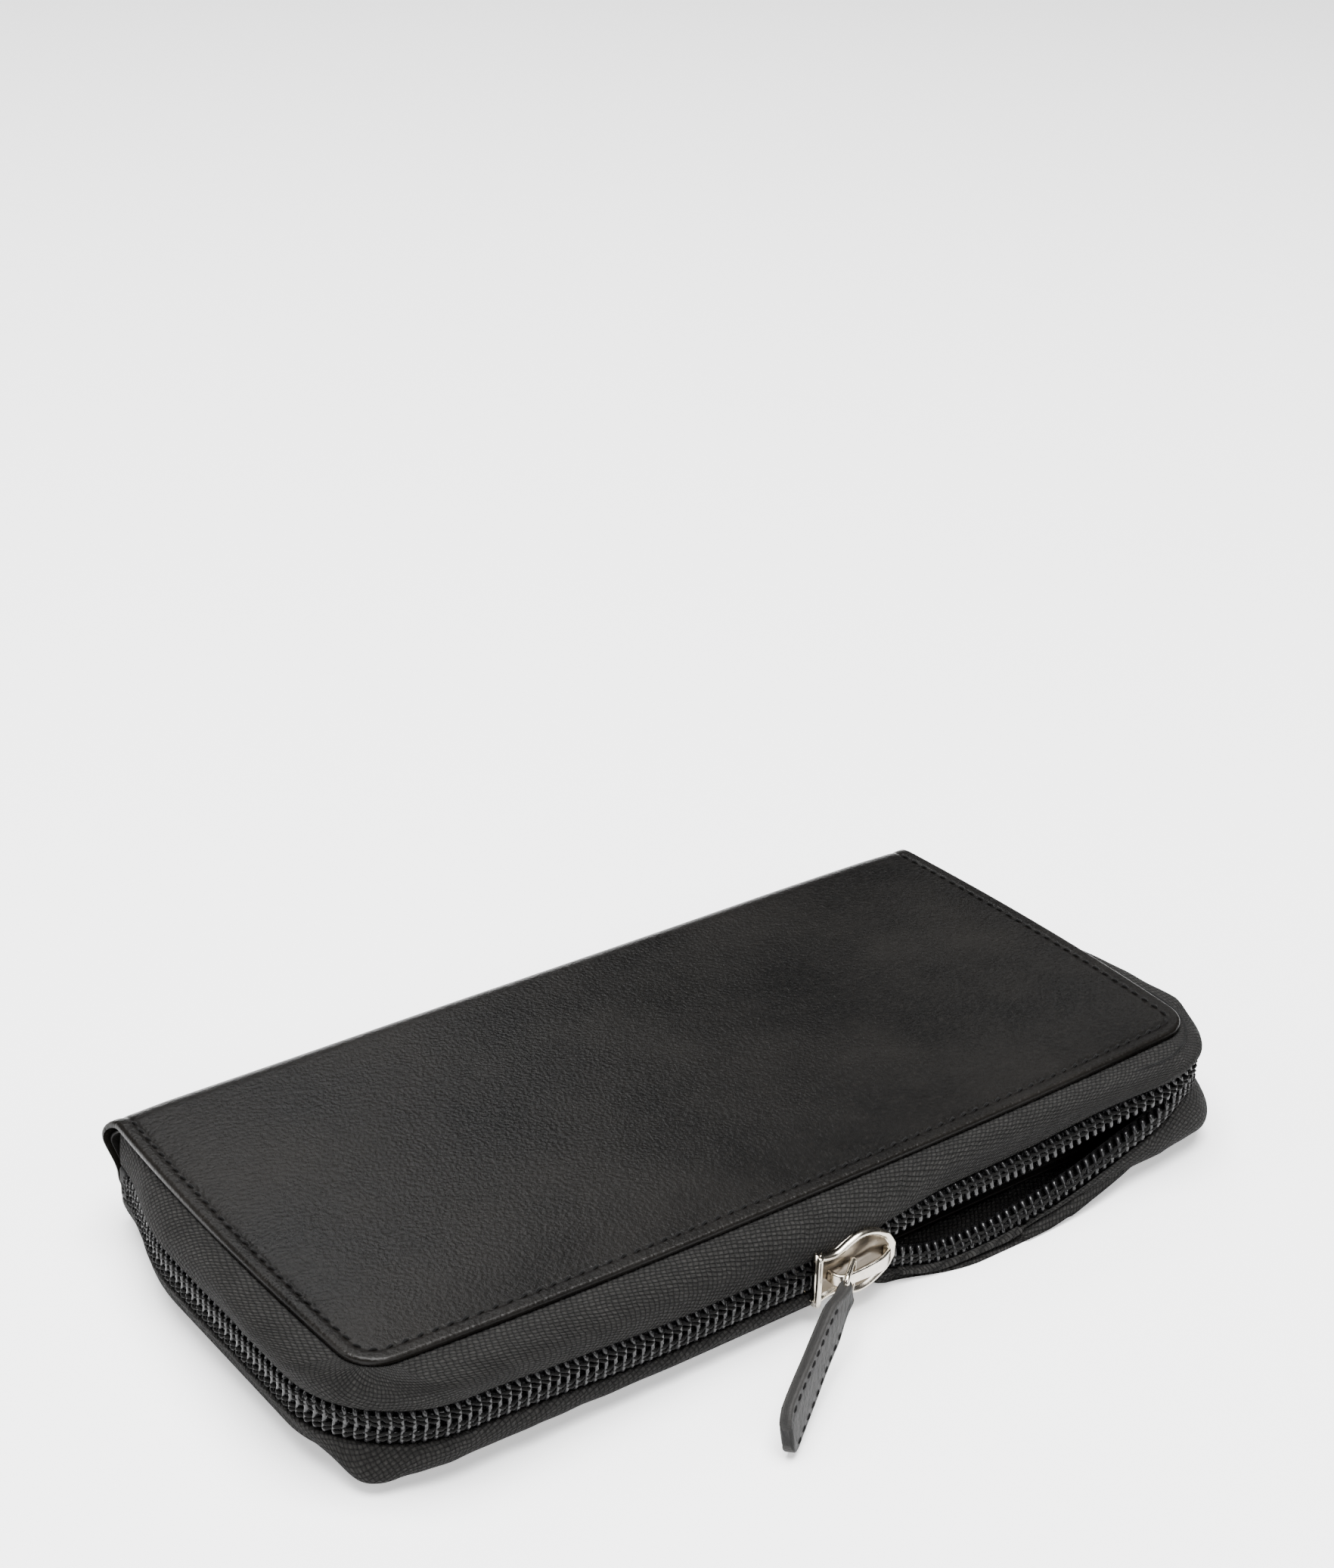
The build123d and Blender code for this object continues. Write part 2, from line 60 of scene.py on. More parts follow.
# ---- sizes read from the frame -------------------------------------------------------------
COVER_LOW, COVER_HIGH = box_mm("front_cover_leather")
COIL_LOW, COIL_HIGH = box_mm("back_zip_coil")
HALF_LENGTH = COVER_HIGH[0]
FRONT = COVER_LOW[1]
THICK = COVER_HIGH[2]
SPINE_BACK = box_mm("spine_leather")[1][1]
ZIP_X = COIL_HIGH[0]
ZIP_FRONT = COIL_LOW[1]
ZIP_END = COIL_HIGH[1] + 3.0     # the rows run on a little over their end stops
MIDDLE = THICK / 2
LEATHER = 1.2                    # thickness of the outer leather
CORNER = 7.0                     # radius of the leather's two front corners
ZIP_RADIUS = 24.0                # radius of the zip's two corners, seen from above
COIL_DEPTH = 2.4                 # of a row, in the direction out of the wallet
ROW = 4.3                        # width of a row, from its heads to its outer edge


# ---- small maths ---------------------------------------------------------------------------
def smooth(t):
    """An even ease from 0 to 1."""
    t = np.clip(t, 0, 1)
    return t * t * (3 - 2 * t)


def rounding(t):
    """Fall of a rounded edge: 1 at its rim, and 0 from t = 1 inwards."""
    return 1 - np.sqrt(np.clip(1 - (1 - np.clip(t, 0, 1)) ** 2, 0, 1))


def hump(t):
    """Half a sine wave over t from 0 to 1."""
    return np.sin(np.clip(t, 0, 1) * math.pi)


def walked_over(grid, axis):
    """Length walked over a grid of points, along one of its axes."""
    return np.insert(np.cumsum(np.linalg.norm(np.diff(grid, axis=axis), axis=2), axis), 0, 0, axis)


def distances(points):
    """Length walked along a line of points, up to each of them."""
    return np.concatenate([[0], np.cumsum(np.linalg.norm(np.diff(points, axis=0), axis=1))])


def between(line, at, walked):
    """Points of a line at the given walked lengths."""
    return np.stack([np.interp(at, walked, line[:, k]) for k in range(3)], 1)


def unit(v):
    """Vectors of length 1."""
    v = np.asarray(v, float)
    return v / np.maximum(np.linalg.norm(v, axis=-1, keepdims=True), 1e-9)


def lumps(x, y, size, seed):
    """Soft unevenness between -1 and 1, made of a few seeded sine waves."""
    rng = np.random.default_rng(seed)
    total = 0
    for _ in range(6):
        angle = rng.uniform(0, math.tau)
        wave = rng.uniform(0.6, 1.7) / size
        phase = rng.uniform(0, math.tau)
        total = total + np.sin((x * math.cos(angle) + y * math.sin(angle)) * wave * math.tau + phase)
    return total / 6


def spread(low, high, edges, step):
    """Positions from low to high: the listed distances in from both ends, and even steps between."""
    inner = np.arange(low + edges[-1] + step, high - edges[-1] - step / 2, step)
    return np.array([low + e for e in edges] + list(inner) + [high - e for e in reversed(edges)])


EDGE_LINES = [0, 0.12, 0.3, 0.55, 0.85, 1.2, 1.7, 2.2, 2.6, 2.9, 3.2, 3.5, 3.8, 4.3, 5.2, 6.6, 8.5]


# ---- mesh making ---------------------------------------------------------------------------
def piece(name, verts, faces, material, uv=None, wear=None):
    """A smooth-shaded mesh object from millimetre points, with texture coordinates in millimetres."""
    mesh = bpy.data.meshes.new(name)
    mesh.from_pydata((np.asarray(verts, float) * MM).tolist(), [], faces)
    mesh.validate()
    if uv is not None:
        layer = mesh.uv_layers.new(name="UVMap")
        index = np.zeros(len(mesh.loops), int)
        mesh.loops.foreach_get("vertex_index", index)
        layer.data.foreach_set("uv", (np.asarray(uv, float) * MM)[index].ravel())
    if wear is not None:
        rubbed = mesh.attributes.new("wear", "FLOAT", "POINT")
        rubbed.data.foreach_set("value", np.asarray(wear, np.float32).ravel())
    mesh.materials.append(material)
    mesh.polygons.foreach_set("use_smooth", [True] * len(mesh.polygons))
    obj = bpy.data.objects.new(name, mesh)
    bpy.context.scene.collection.objects.link(obj)
    return obj


def shell_data(top, under, keep=None):
    """Points and faces of a closed sheet between two grids, with walls wherever the kept cells stop."""
    rows, cols = top.shape[:2]
    keep = np.ones((rows - 1, cols - 1), bool) if keep is None else keep
    number = np.arange(rows * cols).reshape(rows, cols)
    below = number + rows * cols
    faces = []
    padded = np.pad(keep, 1)
    for r, c in zip(*np.nonzero(keep)):
        a, b, d, e = number[r, c], number[r, c + 1], number[r + 1, c + 1], number[r + 1, c]
        p, q, s, t = below[r, c], below[r, c + 1], below[r + 1, c + 1], below[r + 1, c]
        faces += [(a, b, d, e), (t, s, q, p)]
        if not padded[r, c + 1]:
            faces.append((b, a, p, q))
        if not padded[r + 2, c + 1]:
            faces.append((e, d, s, t))
        if not padded[r + 1, c]:
            faces.append((a, e, t, p))
        if not padded[r + 1, c + 2]:
            faces.append((d, b, q, s))
    return np.concatenate([top.reshape(-1, 3), under.reshape(-1, 3)]), faces


def used_only(verts, faces, *extras):
    """Drop points that no face uses."""
    used = np.unique(np.concatenate([np.array(f) for f in faces]))
    renumber = -np.ones(len(verts), int)
    renumber[used] = np.arange(len(used))
    faces = [tuple(renumber[list(f)]) for f in faces]
    return [verts[used], faces] + [None if e is None else e[used] for e in extras]


def shell(name, top, under, material, uv=None, keep=None, wear=None, flip=False):
    """A closed sheet as an object. flip turns its faces over, for mirrored sheets."""
    verts, faces = shell_data(top, under, keep)
    uv = top[..., :2] if uv is None else uv
    uv = np.concatenate([uv.reshape(-1, 2)] * 2)
    wear = None if wear is None else np.concatenate([wear.ravel()] * 2)
    verts, faces, uv, wear = used_only(verts, faces, uv, wear)
    if flip:
        faces = [f[::-1] for f in faces]
    return piece(name, verts, faces, material, uv, wear)


def grid_normals(grid):
    """Unit normals of a grid of points."""
    along = np.gradient(grid, axis=0)
    across = np.gradient(grid, axis=1)
    return unit(np.cross(across, along))


def ring_faces(count, sides):
    """Faces over a row of rings of points, with a cap at each end."""
    faces = []
    for i in range(count - 1):
        for k in range(sides):
            m = (k + 1) % sides
            faces.append((i * sides + k, i * sides + m, (i + 1) * sides + m, (i + 1) * sides + k))
    return faces + [tuple(range(sides))[::-1], tuple((count - 1) * sides + k for k in range(sides))]


def tube_data(path, radius, sides=6, up=(0, 0, 1)):
    """Points, faces and texture coordinates of a capped tube along a path."""
    path = np.asarray(path, float)
    tangent = unit(np.gradient(path, axis=0))
    side = unit(np.cross(tangent, np.asarray(up, float)))
    other = np.cross(side, tangent)
    radius = np.broadcast_to(np.asarray(radius, float), len(path))
    angle = np.arange(sides) / sides * math.tau
    ring = np.cos(angle)[None, :, None] * side[:, None] + np.sin(angle)[None, :, None] * other[:, None]
    verts = (path[:, None] + ring * radius[:, None, None]).reshape(-1, 3)
    uv = np.stack([np.repeat(distances(path), sides), np.tile(angle, len(path))], 1)
    return verts, ring_faces(len(path), sides), uv


def joined(parts):
    """Several point-and-face sets as one."""
    verts, faces, uvs, base = [], [], [], 0
    for part in parts:
        v, f = part[0], part[1]
        verts.append(v)
        uvs.append(part[2] if len(part) > 2 else np.zeros((len(v), 2)))
        faces += [tuple(i + base for i in face) for face in f]
        base += len(v)
    return np.concatenate(verts), faces, np.concatenate(uvs)


def stitches(name, points, normals, material, pitch=3.0, thread=0.28, length=0.78, sink=0.1, lean=0.0):
    """A row of short threads along a path, each dipping into the leather at both ends."""
    points = np.asarray(points, float)
    walked = distances(points)
    count = max(int(walked[-1] / pitch), 1)
    t = np.linspace(-0.5, 0.5, 7)
    parts = []
    for i in range(count):
        at = (i + 0.5) * walked[-1] / count + t * pitch * length
        line = between(points, at, walked)
        up = unit(between(normals, at, walked))
        ahead = unit(line[-1] - line[0])
        sideways = np.cross(up, ahead)
        rise = thread * (1.0 - 2.6 * np.abs(t * 2) ** 3) - sink
        line = line + up * rise[:, None] + sideways * (t * lean)[:, None]
        radius = thread * (0.75 + 0.25 * (1 - (2 * t) ** 2))
        parts.append(tube_data(line, radius, 6, up[3]))
    verts, faces, uv = joined(parts)
    return piece(name, verts, faces, material, uv)


# ---- materials -----------------------------------------------------------------------------
class Recipe:
    """A new material, with short ways to add to its shader nodes."""

    def __init__(self, name):
        self.material = bpy.data.materials.new(name)
        self.material.use_nodes = True
        self.nodes = self.material.node_tree.nodes
        self.links = self.material.node_tree.links
        self.shader = self.nodes["Principled BSDF"]

    def place(self, scale):
        """Texture coordinates, scaled to the given count per metre."""
        mapping = self.nodes.new("ShaderNodeMapping")
        mapping.inputs["Scale"].default_value = scale
        self.links.new(self.nodes.new("ShaderNodeTexCoord").outputs["UV"], mapping.inputs["Vector"])
        return mapping.outputs["Vector"]

    def math(self, kind, *values):
        """One sum on numbers or on other nodes' outputs."""
        node = self.nodes.new("ShaderNodeMath")
        node.operation = kind
        for socket, value in zip(node.inputs, values):
            if isinstance(value, (int, float)):
                socket.default_value = value
            else:
                self.links.new(value, socket)
        return node.outputs[0]

    def add(self, a, b):
        """The sum of two values."""
        return self.math("ADD", a, b)

    def times(self, a, b):
        """The product of two values."""
        return self.math("MULTIPLY", a, b)

    def ramp(self, value, low, high, from_min=0.0, from_max=1.0):
        """A value's range moved to the range from low to high."""
        node = self.nodes.new("ShaderNodeMapRange")
        node.inputs["From Min"].default_value = from_min
        node.inputs["From Max"].default_value = from_max
        node.inputs["To Min"].default_value = low
        node.inputs["To Max"].default_value = high
        self.links.new(value, node.inputs["Value"])
        return node.outputs["Result"]

    def mix(self, factor, a, b):
        """A colour between two colours or colour outputs."""
        node = self.nodes.new("ShaderNodeMix")
        node.data_type = "RGBA"
        self.links.new(factor, node.inputs["Factor"])
        for socket, value in (("A", a), ("B", b)):
            target = [one for one in node.inputs if one.name == socket and one.type == "RGBA"][0]
            if isinstance(value, tuple):
                target.default_value = (*value, 1)
            else:
                self.links.new(value, target)
        return [one for one in node.outputs if one.type == "RGBA"][0]

    def noise(self, vector, scale, detail=3.0, rough=0.5):
        """Cloudy noise between 0 and 1."""
        node = self.nodes.new("ShaderNodeTexNoise")
        node.inputs["Scale"].default_value = scale
        node.inputs["Detail"].default_value = detail
        node.inputs["Roughness"].default_value = rough
        self.links.new(vector, node.inputs["Vector"])
        return node.outputs["Fac"]

    def bump(self, height, strength, distance):
        """Relief on the shader's surface."""
        node = self.nodes.new("ShaderNodeBump")
        node.inputs["Strength"].default_value = strength
        node.inputs["Distance"].default_value = distance
        self.links.new(height, node.inputs["Height"])
        self.links.new(node.outputs["Normal"], self.shader.inputs["Normal"])


def leather(name, dark, light, rough=(0.3, 0.42), grain=1.5, depth=0.00009, worn=(0.09, 0.08, 0.07)):
    """Fine grained leather: pebbles with soft creases, cloudy colour, and rubbed edges."""
    recipe = Recipe(name)
    shader = recipe.shader
    place = recipe.place((1, 1, 1))
    pebbles = recipe.nodes.new("ShaderNodeTexVoronoi")
    pebbles.feature = "SMOOTH_F1"
    pebbles.inputs["Scale"].default_value = 1000 * grain
    recipe.links.new(place, pebbles.inputs["Vector"])
    fine = recipe.noise(place, 2600 * grain, 2)
    cloud = recipe.noise(place, 28, 4, 0.6)
    cloud_wide = recipe.ramp(cloud, 0, 1, 0.35, 0.68)
    speck = recipe.noise(place, 900, 2)
    height = recipe.add(pebbles.outputs["Distance"], recipe.times(fine, 0.7))
    recipe.bump(height, 0.9, depth)
    base = recipe.mix(cloud_wide, dark, light)
    flecked = recipe.mix(recipe.ramp(speck, 0, 0.5, 0.52, 0.75), base, tuple(1.7 * c for c in light))
    wear = recipe.nodes.new("ShaderNodeAttribute")
    wear.attribute_name = "wear"
    rubbed = recipe.times(wear.outputs["Fac"], recipe.ramp(cloud, 0.25, 1.0, 0.3, 0.7))
    recipe.links.new(recipe.mix(rubbed, flecked, worn), shader.inputs["Base Color"])
    recipe.links.new(recipe.ramp(recipe.add(cloud, recipe.times(fine, 0.4)),
                   rough[0], rough[1], 0.45, 0.95), shader.inputs["Roughness"])
    shader.inputs["Specular IOR Level"].default_value = 0.13
    return recipe.material


def woven(name, dark, light, yarn, depth, rough=0.85, sheen=0.25, diagonal=True):
    """Woven cloth: two sets of yarns, one crossing over the other, with uneven thickness and loose fibres,
    and painted shade that darkens the colour in the valleys between the yarns.
    """
    recipe = Recipe(name)
    shader = recipe.shader
    place = recipe.place((1000, 1000, 1000))
    wobble = recipe.nodes.new("ShaderNodeTexNoise")
    wobble.inputs["Scale"].default_value = 0.35
    recipe.links.new(place, wobble.inputs["Vector"])
    split = recipe.nodes.new("ShaderNodeSeparateXYZ")
    moved = recipe.nodes.new("ShaderNodeVectorMath")
    moved.operation = "MULTIPLY_ADD"
    recipe.links.new(wobble.outputs["Color"], moved.inputs[0])
    moved.inputs[1].default_value = (yarn * 0.9, yarn * 0.9, 0)
    recipe.links.new(place, moved.inputs[2])
    recipe.links.new(moved.outputs[0], split.inputs[0])
    u, v = split.outputs["X"], split.outputs["Y"]
    turn = math.tau / (2 * yarn)
    if diagonal:
        first = recipe.add(u, recipe.times(v, 0.55))
        second = recipe.math("SUBTRACT", v, recipe.times(u, 0.35))
    else:
        first, second = u, v
    warp = recipe.math("SINE", recipe.times(first, turn))
    weft = recipe.math("SINE", recipe.times(second, turn))
    crossing = recipe.times(warp, weft)
    ridges = recipe.math("ABSOLUTE", crossing)
    fibre = recipe.noise(place, 3.2 / yarn, 3, 0.7)
    patch = recipe.noise(place, 0.25, 3)
    nub = recipe.add(recipe.math("POWER", ridges, 0.6),
                    recipe.times(crossing, 0.25))
    height = recipe.add(nub, recipe.times(fibre, 0.8))
    recipe.bump(height, 0.9, depth)
    # painted shade: the colour is darker in the weave's valleys and lighter on its nubs, times random patches
    # of tone
    valley_shaded_tone = recipe.times(recipe.ramp(height, 0, 1, 0.35, 1.5),
                     recipe.ramp(patch, 0.6, 1.0, 0.3, 0.7))
    recipe.links.new(recipe.mix(valley_shaded_tone, dark, light), shader.inputs["Base Color"])
    shader.inputs["Roughness"].default_value = rough
    shader.inputs["Sheen Weight"].default_value = sheen
    shader.inputs["Sheen Roughness"].default_value = 0.4
    shader.inputs["Specular IOR Level"].default_value = 0.08
    return recipe.material


MARK_DEPTH = 0.00001             # of the fine wear marks on hard parts, in metres


def plain(name, base, rough, metal=0.0, detail=600, level=0.5, varied=0.5):
    """A hard material whose colour and gloss vary a little, with fine wear marks."""
    recipe = Recipe(name)
    shader = recipe.shader
    place = recipe.nodes.new("ShaderNodeTexCoord").outputs["Object"]
    marks = recipe.noise(place, detail, 4, 0.65)
    gloss = recipe.ramp(marks, rough * (1 - varied), rough * (1 + varied), 0.3, 0.7)
    recipe.links.new(gloss, shader.inputs["Roughness"])
    recipe.links.new(recipe.mix(recipe.ramp(marks, 0, 1, 0.3, 0.7), tuple(0.85 * c for c in base),
                         tuple(min(1.1 * c, 1) for c in base)), shader.inputs["Base Color"])
    shader.inputs["Metallic"].default_value = metal
    shader.inputs["Specular IOR Level"].default_value = level
    recipe.bump(marks, 0.25, MARK_DEPTH)
    return recipe.material


def clear_sheet(name):
    """Clear soft plastic with faint ripples."""
    recipe = Recipe(name)
    shader = recipe.shader
    place = recipe.nodes.new("ShaderNodeTexCoord").outputs["Object"]
    ripples = recipe.noise(place, 30, 2)
    smears = recipe.noise(place, 90, 4)
    recipe.bump(ripples, 0.6, 0.0006)
    recipe.links.new(recipe.ramp(smears, 0.09, 0.22, 0.4, 0.7), shader.inputs["Roughness"])
    shader.inputs["Base Color"].default_value = (0.93, 0.93, 0.95, 1)
    shader.inputs["Transmission Weight"].default_value = 0.96
    shader.inputs["IOR"].default_value = 1.45
    return recipe.material


COVER = leather("cover_leather", (0.0006, 0.0005, 0.0004), (0.0040, 0.0035, 0.0030), rough=(0.26, 0.37),
                worn=(0.008, 0.007, 0.006))
INNER = leather("inner_leather", (0.0035, 0.0032, 0.003), (0.0065, 0.006, 0.0055), rough=(0.38, 0.5),
                grain=1.1, worn=(0.013, 0.012, 0.011))
PULL_LEATHER = leather("pull_leather", (0.005, 0.0049, 0.0048), (0.011, 0.0107, 0.0104), rough=(0.5, 0.68),
                       grain=0.8, depth=0.00014, worn=(0.03, 0.029, 0.028))
GUSSET = woven("gusset_twill", (0.0008, 0.0008, 0.0008), (0.027, 0.026, 0.0245), 1.0, 0.0008, sheen=0.02)
TAPE = woven("zip_tape_weave", (0.0025, 0.0025, 0.0025), (0.012, 0.012, 0.012), 0.35, 0.00012,
             diagonal=False, sheen=0.05)
POCKET = woven("pocket_cloth", (0.004, 0.004, 0.004), (0.015, 0.015, 0.015), 0.25, 0.00006,
               diagonal=False, sheen=0.05)
NYLON = plain("nylon_coil", (0.0055, 0.0055, 0.006), 0.3, level=0.42)
THREAD = woven("black_thread", (0.001, 0.001, 0.001), (0.005, 0.0048, 0.0046), 0.25, 0.00006,
               rough=0.6, sheen=0.05)
NICKEL = plain("polished_nickel", (0.56, 0.515, 0.44), 0.22, metal=1.0, detail=900, varied=0.25)
# a darker, browner copy of the polished nickel: painted shade and painted dark reflection for the slider's
# recess floor
NICKEL_PAINTED_SHADE = plain("nickel_painted_shade", (0.17, 0.142, 0.108), 0.34, metal=1.0, detail=900, varied=0.25)
BOARD = plain("bonded_board", (0.2, 0.16, 0.11), 0.8, detail=2500)
CLEAR = clear_sheet("clear_vinyl")


# ---- outer skins: each half's leather runs over its face and round to the middle of the spine ----
SPINE_ROUND = 7.0
FACE_END = SPINE_BACK - SPINE_ROUND
FACE_LENGTH = FACE_END - FRONT
ARC_LENGTH = SPINE_ROUND * math.pi / 2
FOOT_LENGTH = THICK - SPINE_ROUND - MIDDLE
PATH_LENGTH = FACE_LENGTH + ARC_LENGTH + FOOT_LENGTH
TOP = THICK - 0.25
FRONT_BOW = 1.5                  # the front rim's middle stands out this far past its corners
FRONT_DROP = 1.0                 # and sinks this far
SIDE_BOW = 1.7                   # the ends swell this far, half way to the spine
LEATHER_PINCH = 3.6              # the leather's ends pull in this far at the middle of the spine
LINING_PINCH = 2.0               # and the layers under it this far
SEAM_INSET = 3.05                # of the stitching, in from the leather's rim
BOARD_DEPTHS = (LEATHER + 0.05, LEATHER + 0.8)
LINING_DEPTHS = (2.05, 2.6)


def half_span(v):
    """Half the leather's length at path position v, with the two rounded front corners."""
    into = np.clip(CORNER - v, 0, CORNER)
    return HALF_LENGTH - CORNER + np.sqrt(CORNER ** 2 - into ** 2)


def edge_distance(x, v):
    """How far in from the leather's rim a point of the flat cut is."""
    ax = np.abs(x)
    side, front = HALF_LENGTH - ax, v
    cx, cv = ax - (HALF_LENGTH - CORNER), CORNER - v
    corner = CORNER - np.hypot(np.maximum(cx, 0), np.maximum(cv, 0))
    return np.where((cx > 0) & (cv > 0), corner, np.minimum(side, front))


def skin_point(x, v, sink, upper, profile=None):
    """A point of a half's skin: x along the wallet, v in from the front rim, sink below its face."""
    x, v = np.broadcast_arrays(np.asarray(x, float), np.asarray(v, float))
    pinch = LEATHER_PINCH if sink <= LEATHER else LINING_PINCH
    sink = sink - (0 if profile is None else profile)
    turn = np.clip((v - FACE_LENGTH) / ARC_LENGTH, 0, 1) * math.pi / 2
    foot = np.clip(v - FACE_LENGTH - ARC_LENGTH, 0, None)
    reach = SPINE_ROUND - sink - 0.25
    y = np.where(v < FACE_LENGTH, FRONT + v, FACE_END + reach * np.sin(turn))
    z = np.where(v < FACE_LENGTH, TOP - sink, THICK - SPINE_ROUND + reach * np.cos(turn) - foot)
    ax = np.abs(x) / HALF_LENGTH
    near_front = smooth((26 - v) / 26)
    y = y - FRONT_BOW * (1 - ax ** 2) * near_front
    z = z - FRONT_DROP * (1 - ax ** 4) * smooth((20 - v) / 20)
    length_wise = (v - 45) / 48
    x = x + np.sign(x) * SIDE_BOW * np.clip(1 - length_wise ** 2, 0, 1) * smooth((ax - 0.72) / 0.28)
    waist = smooth((v - FACE_LENGTH) / (PATH_LENGTH - FACE_LENGTH))
    y = y - pinch * waist ** 2 * smooth((ax - 0.74) / 0.26)
    x = x + np.sign(x) * 1.6 * np.sin(waist * math.pi) * smooth((ax - 0.9) / 0.1)
    on_face = 1 - waist ** 5
    if upper:
        x = x + 3.8 * smooth((x - 10) / 85) * on_face
    else:
        x = x + (3.4 * smooth((-x - 50) / 45) + 1.4 * smooth((x - 30) / 60)) * on_face
    z = z + 0.1 * lumps(x, v, 60, 3 if upper else 4) * smooth(v / 12) * (1 - waist)
    return np.stack([x, y, z if upper else THICK - z], -1)


def skin_profile(x, v):
    """Height of the leather's face over its flat: turned rim, sewn groove and soft crown."""
    d = edge_distance(x, v)
    rim = -0.75 * rounding(d / 0.8)
    bead = 0.03 * hump((d - 0.4) / 2.3)
    groove = -0.17 * np.exp(-((d - SEAM_INSET) / 0.55) ** 2)
    crown = 0.22 * smooth((d - 3.4) / 9)
    return rim + bead + groove + crown


def skin_grid(start=0.0, stop=PATH_LENGTH):
    """Grid of flat positions: columns keep their distance from the sides, round the corners too."""
    lines = np.array(EDGE_LINES)
    v = np.concatenate([start + lines, np.arange(start + lines[-1] + 3, stop - 22, 3.0),
                        np.linspace(stop - 22, stop, 26)])
    inner = HALF_LENGTH - lines[-1]
    base = np.concatenate([lines - HALF_LENGTH, np.arange(3 - inner, inner - 1.5, 3.0),
                           (HALF_LENGTH - lines)[::-1]])
    grid_v, grid_x = np.meshgrid(v, base, indexing="ij")
    span = half_span(grid_v) - HALF_LENGTH
    pull = smooth((np.abs(grid_x) - (HALF_LENGTH - 14)) / 14)
    return grid_x + np.sign(grid_x) * span * pull, grid_v


def bend_face(obj, upper):
    """Bake the object's placing into its mesh; the fold round the spine is already in its points."""
    flip = (lambda z: z) if upper else (lambda z: THICK - z)
    flip(26) * MM
    flip(18) * MM
    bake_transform(obj)


def bend_row(obj):
    """Bake the object's placing into its mesh; the rows already draw in towards the spine in their points."""
    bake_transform(obj)


def bend_wall(obj, upper):
    """Bake the object's placing into its mesh; the wall's points already run from the leather's rim to its
    row.
    """
    flip = (lambda z: z) if upper else (lambda z: THICK - z)
    flip(16.9) * MM
    flip(10.27) * MM
    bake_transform(obj)


CRISP = math.radians(78)        # edges sharper than this keep a hard line, so cut ends do not shade the faces


def skin_layer(name, x, v, depths, upper, material, profile=None, wear=None):
    """A closed layer of a half's skin, between two depths below its face."""
    return shell(name, skin_point(x, v, depths[0], upper, profile), skin_point(x, v, depths[1], upper),
                 material, np.stack([x, v], -1), wear=wear, flip=not upper)


def make_face(upper):
    """One half's outer leather with its stitching, and the board and lining under it."""
    side = "front" if upper else "back"
    x, v = skin_grid()
    profile = skin_profile(x, v)
    d = edge_distance(x, v)
    wear = 0.55 * np.exp(-((d - 0.4) / 0.5) ** 2) + 0.35 * smooth((v - FACE_LENGTH) / 6)
    cover = skin_layer(f"{side}_leather_skin", x, v, (0, LEATHER), upper, COVER, profile, wear)
    replaced = [f"{side}_cover_leather"] + (["spine_leather"] if upper else [])
    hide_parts(*replaced)
    cover.data.set_sharp_from_angle(angle=CRISP)
    bend_face(cover, upper)

    x, v = skin_grid(start=4.5, stop=FACE_LENGTH - 4)
    x = x * (HALF_LENGTH - 4.5) / HALF_LENGTH
    board = skin_layer(f"{side}_stiffener", x, v, BOARD_DEPTHS, upper, BOARD)
    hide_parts(f"{side}_board")
    bend_face(board, upper)

    x, v = skin_grid(start=1.2)
    x = x * (HALF_LENGTH - 1.2) / HALF_LENGTH
    lining = skin_layer(f"{side}_lining_skin", x, v, LINING_DEPTHS, upper, INNER)
    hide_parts(f"{side}_lining", *(["spine_lining"] if upper else []))
    bend_face(lining, upper)

    bend = CORNER - SEAM_INSET
    angle = np.linspace(0, math.pi / 2, 24)
    last = FACE_LENGTH + 0.5
    left = [(-(HALF_LENGTH - SEAM_INSET), v) for v in np.linspace(last, CORNER, 90)]
    left += [(-(HALF_LENGTH - CORNER) - bend * math.cos(a), CORNER - bend * math.sin(a)) for a in angle[1:]]
    right = [(-px, pv) for px, pv in reversed(left)]
    middle = [(px, SEAM_INSET) for px in np.linspace(left[-1][0], right[0][0], 160)[1:-1]]
    route = np.array(left + middle + right)
    points = skin_point(route[:, 0], route[:, 1], 0, upper, skin_profile(route[:, 0], route[:, 1]))
    up = skin_point(route[:, 0], route[:, 1], -1, upper) - skin_point(route[:, 0], route[:, 1], 0, upper)
    sewn = stitches(f"{side}_cover_stitches", points, up, THREAD, pitch=3.0, thread=0.3, length=0.6,
                    sink=0.05, lean=0.55)
    bend_face(sewn, upper)


for upper in (True, False):
    make_face(upper)


# ---- the zip's path round three sides --------------------------------------------------------
SIDE_RUN = ZIP_END - (ZIP_FRONT + ZIP_RADIUS)
ARC = ZIP_RADIUS * math.pi / 2
FRONT_RUN = 2 * (ZIP_X - ZIP_RADIUS)
LOOP = 2 * SIDE_RUN + 2 * ARC + FRONT_RUN


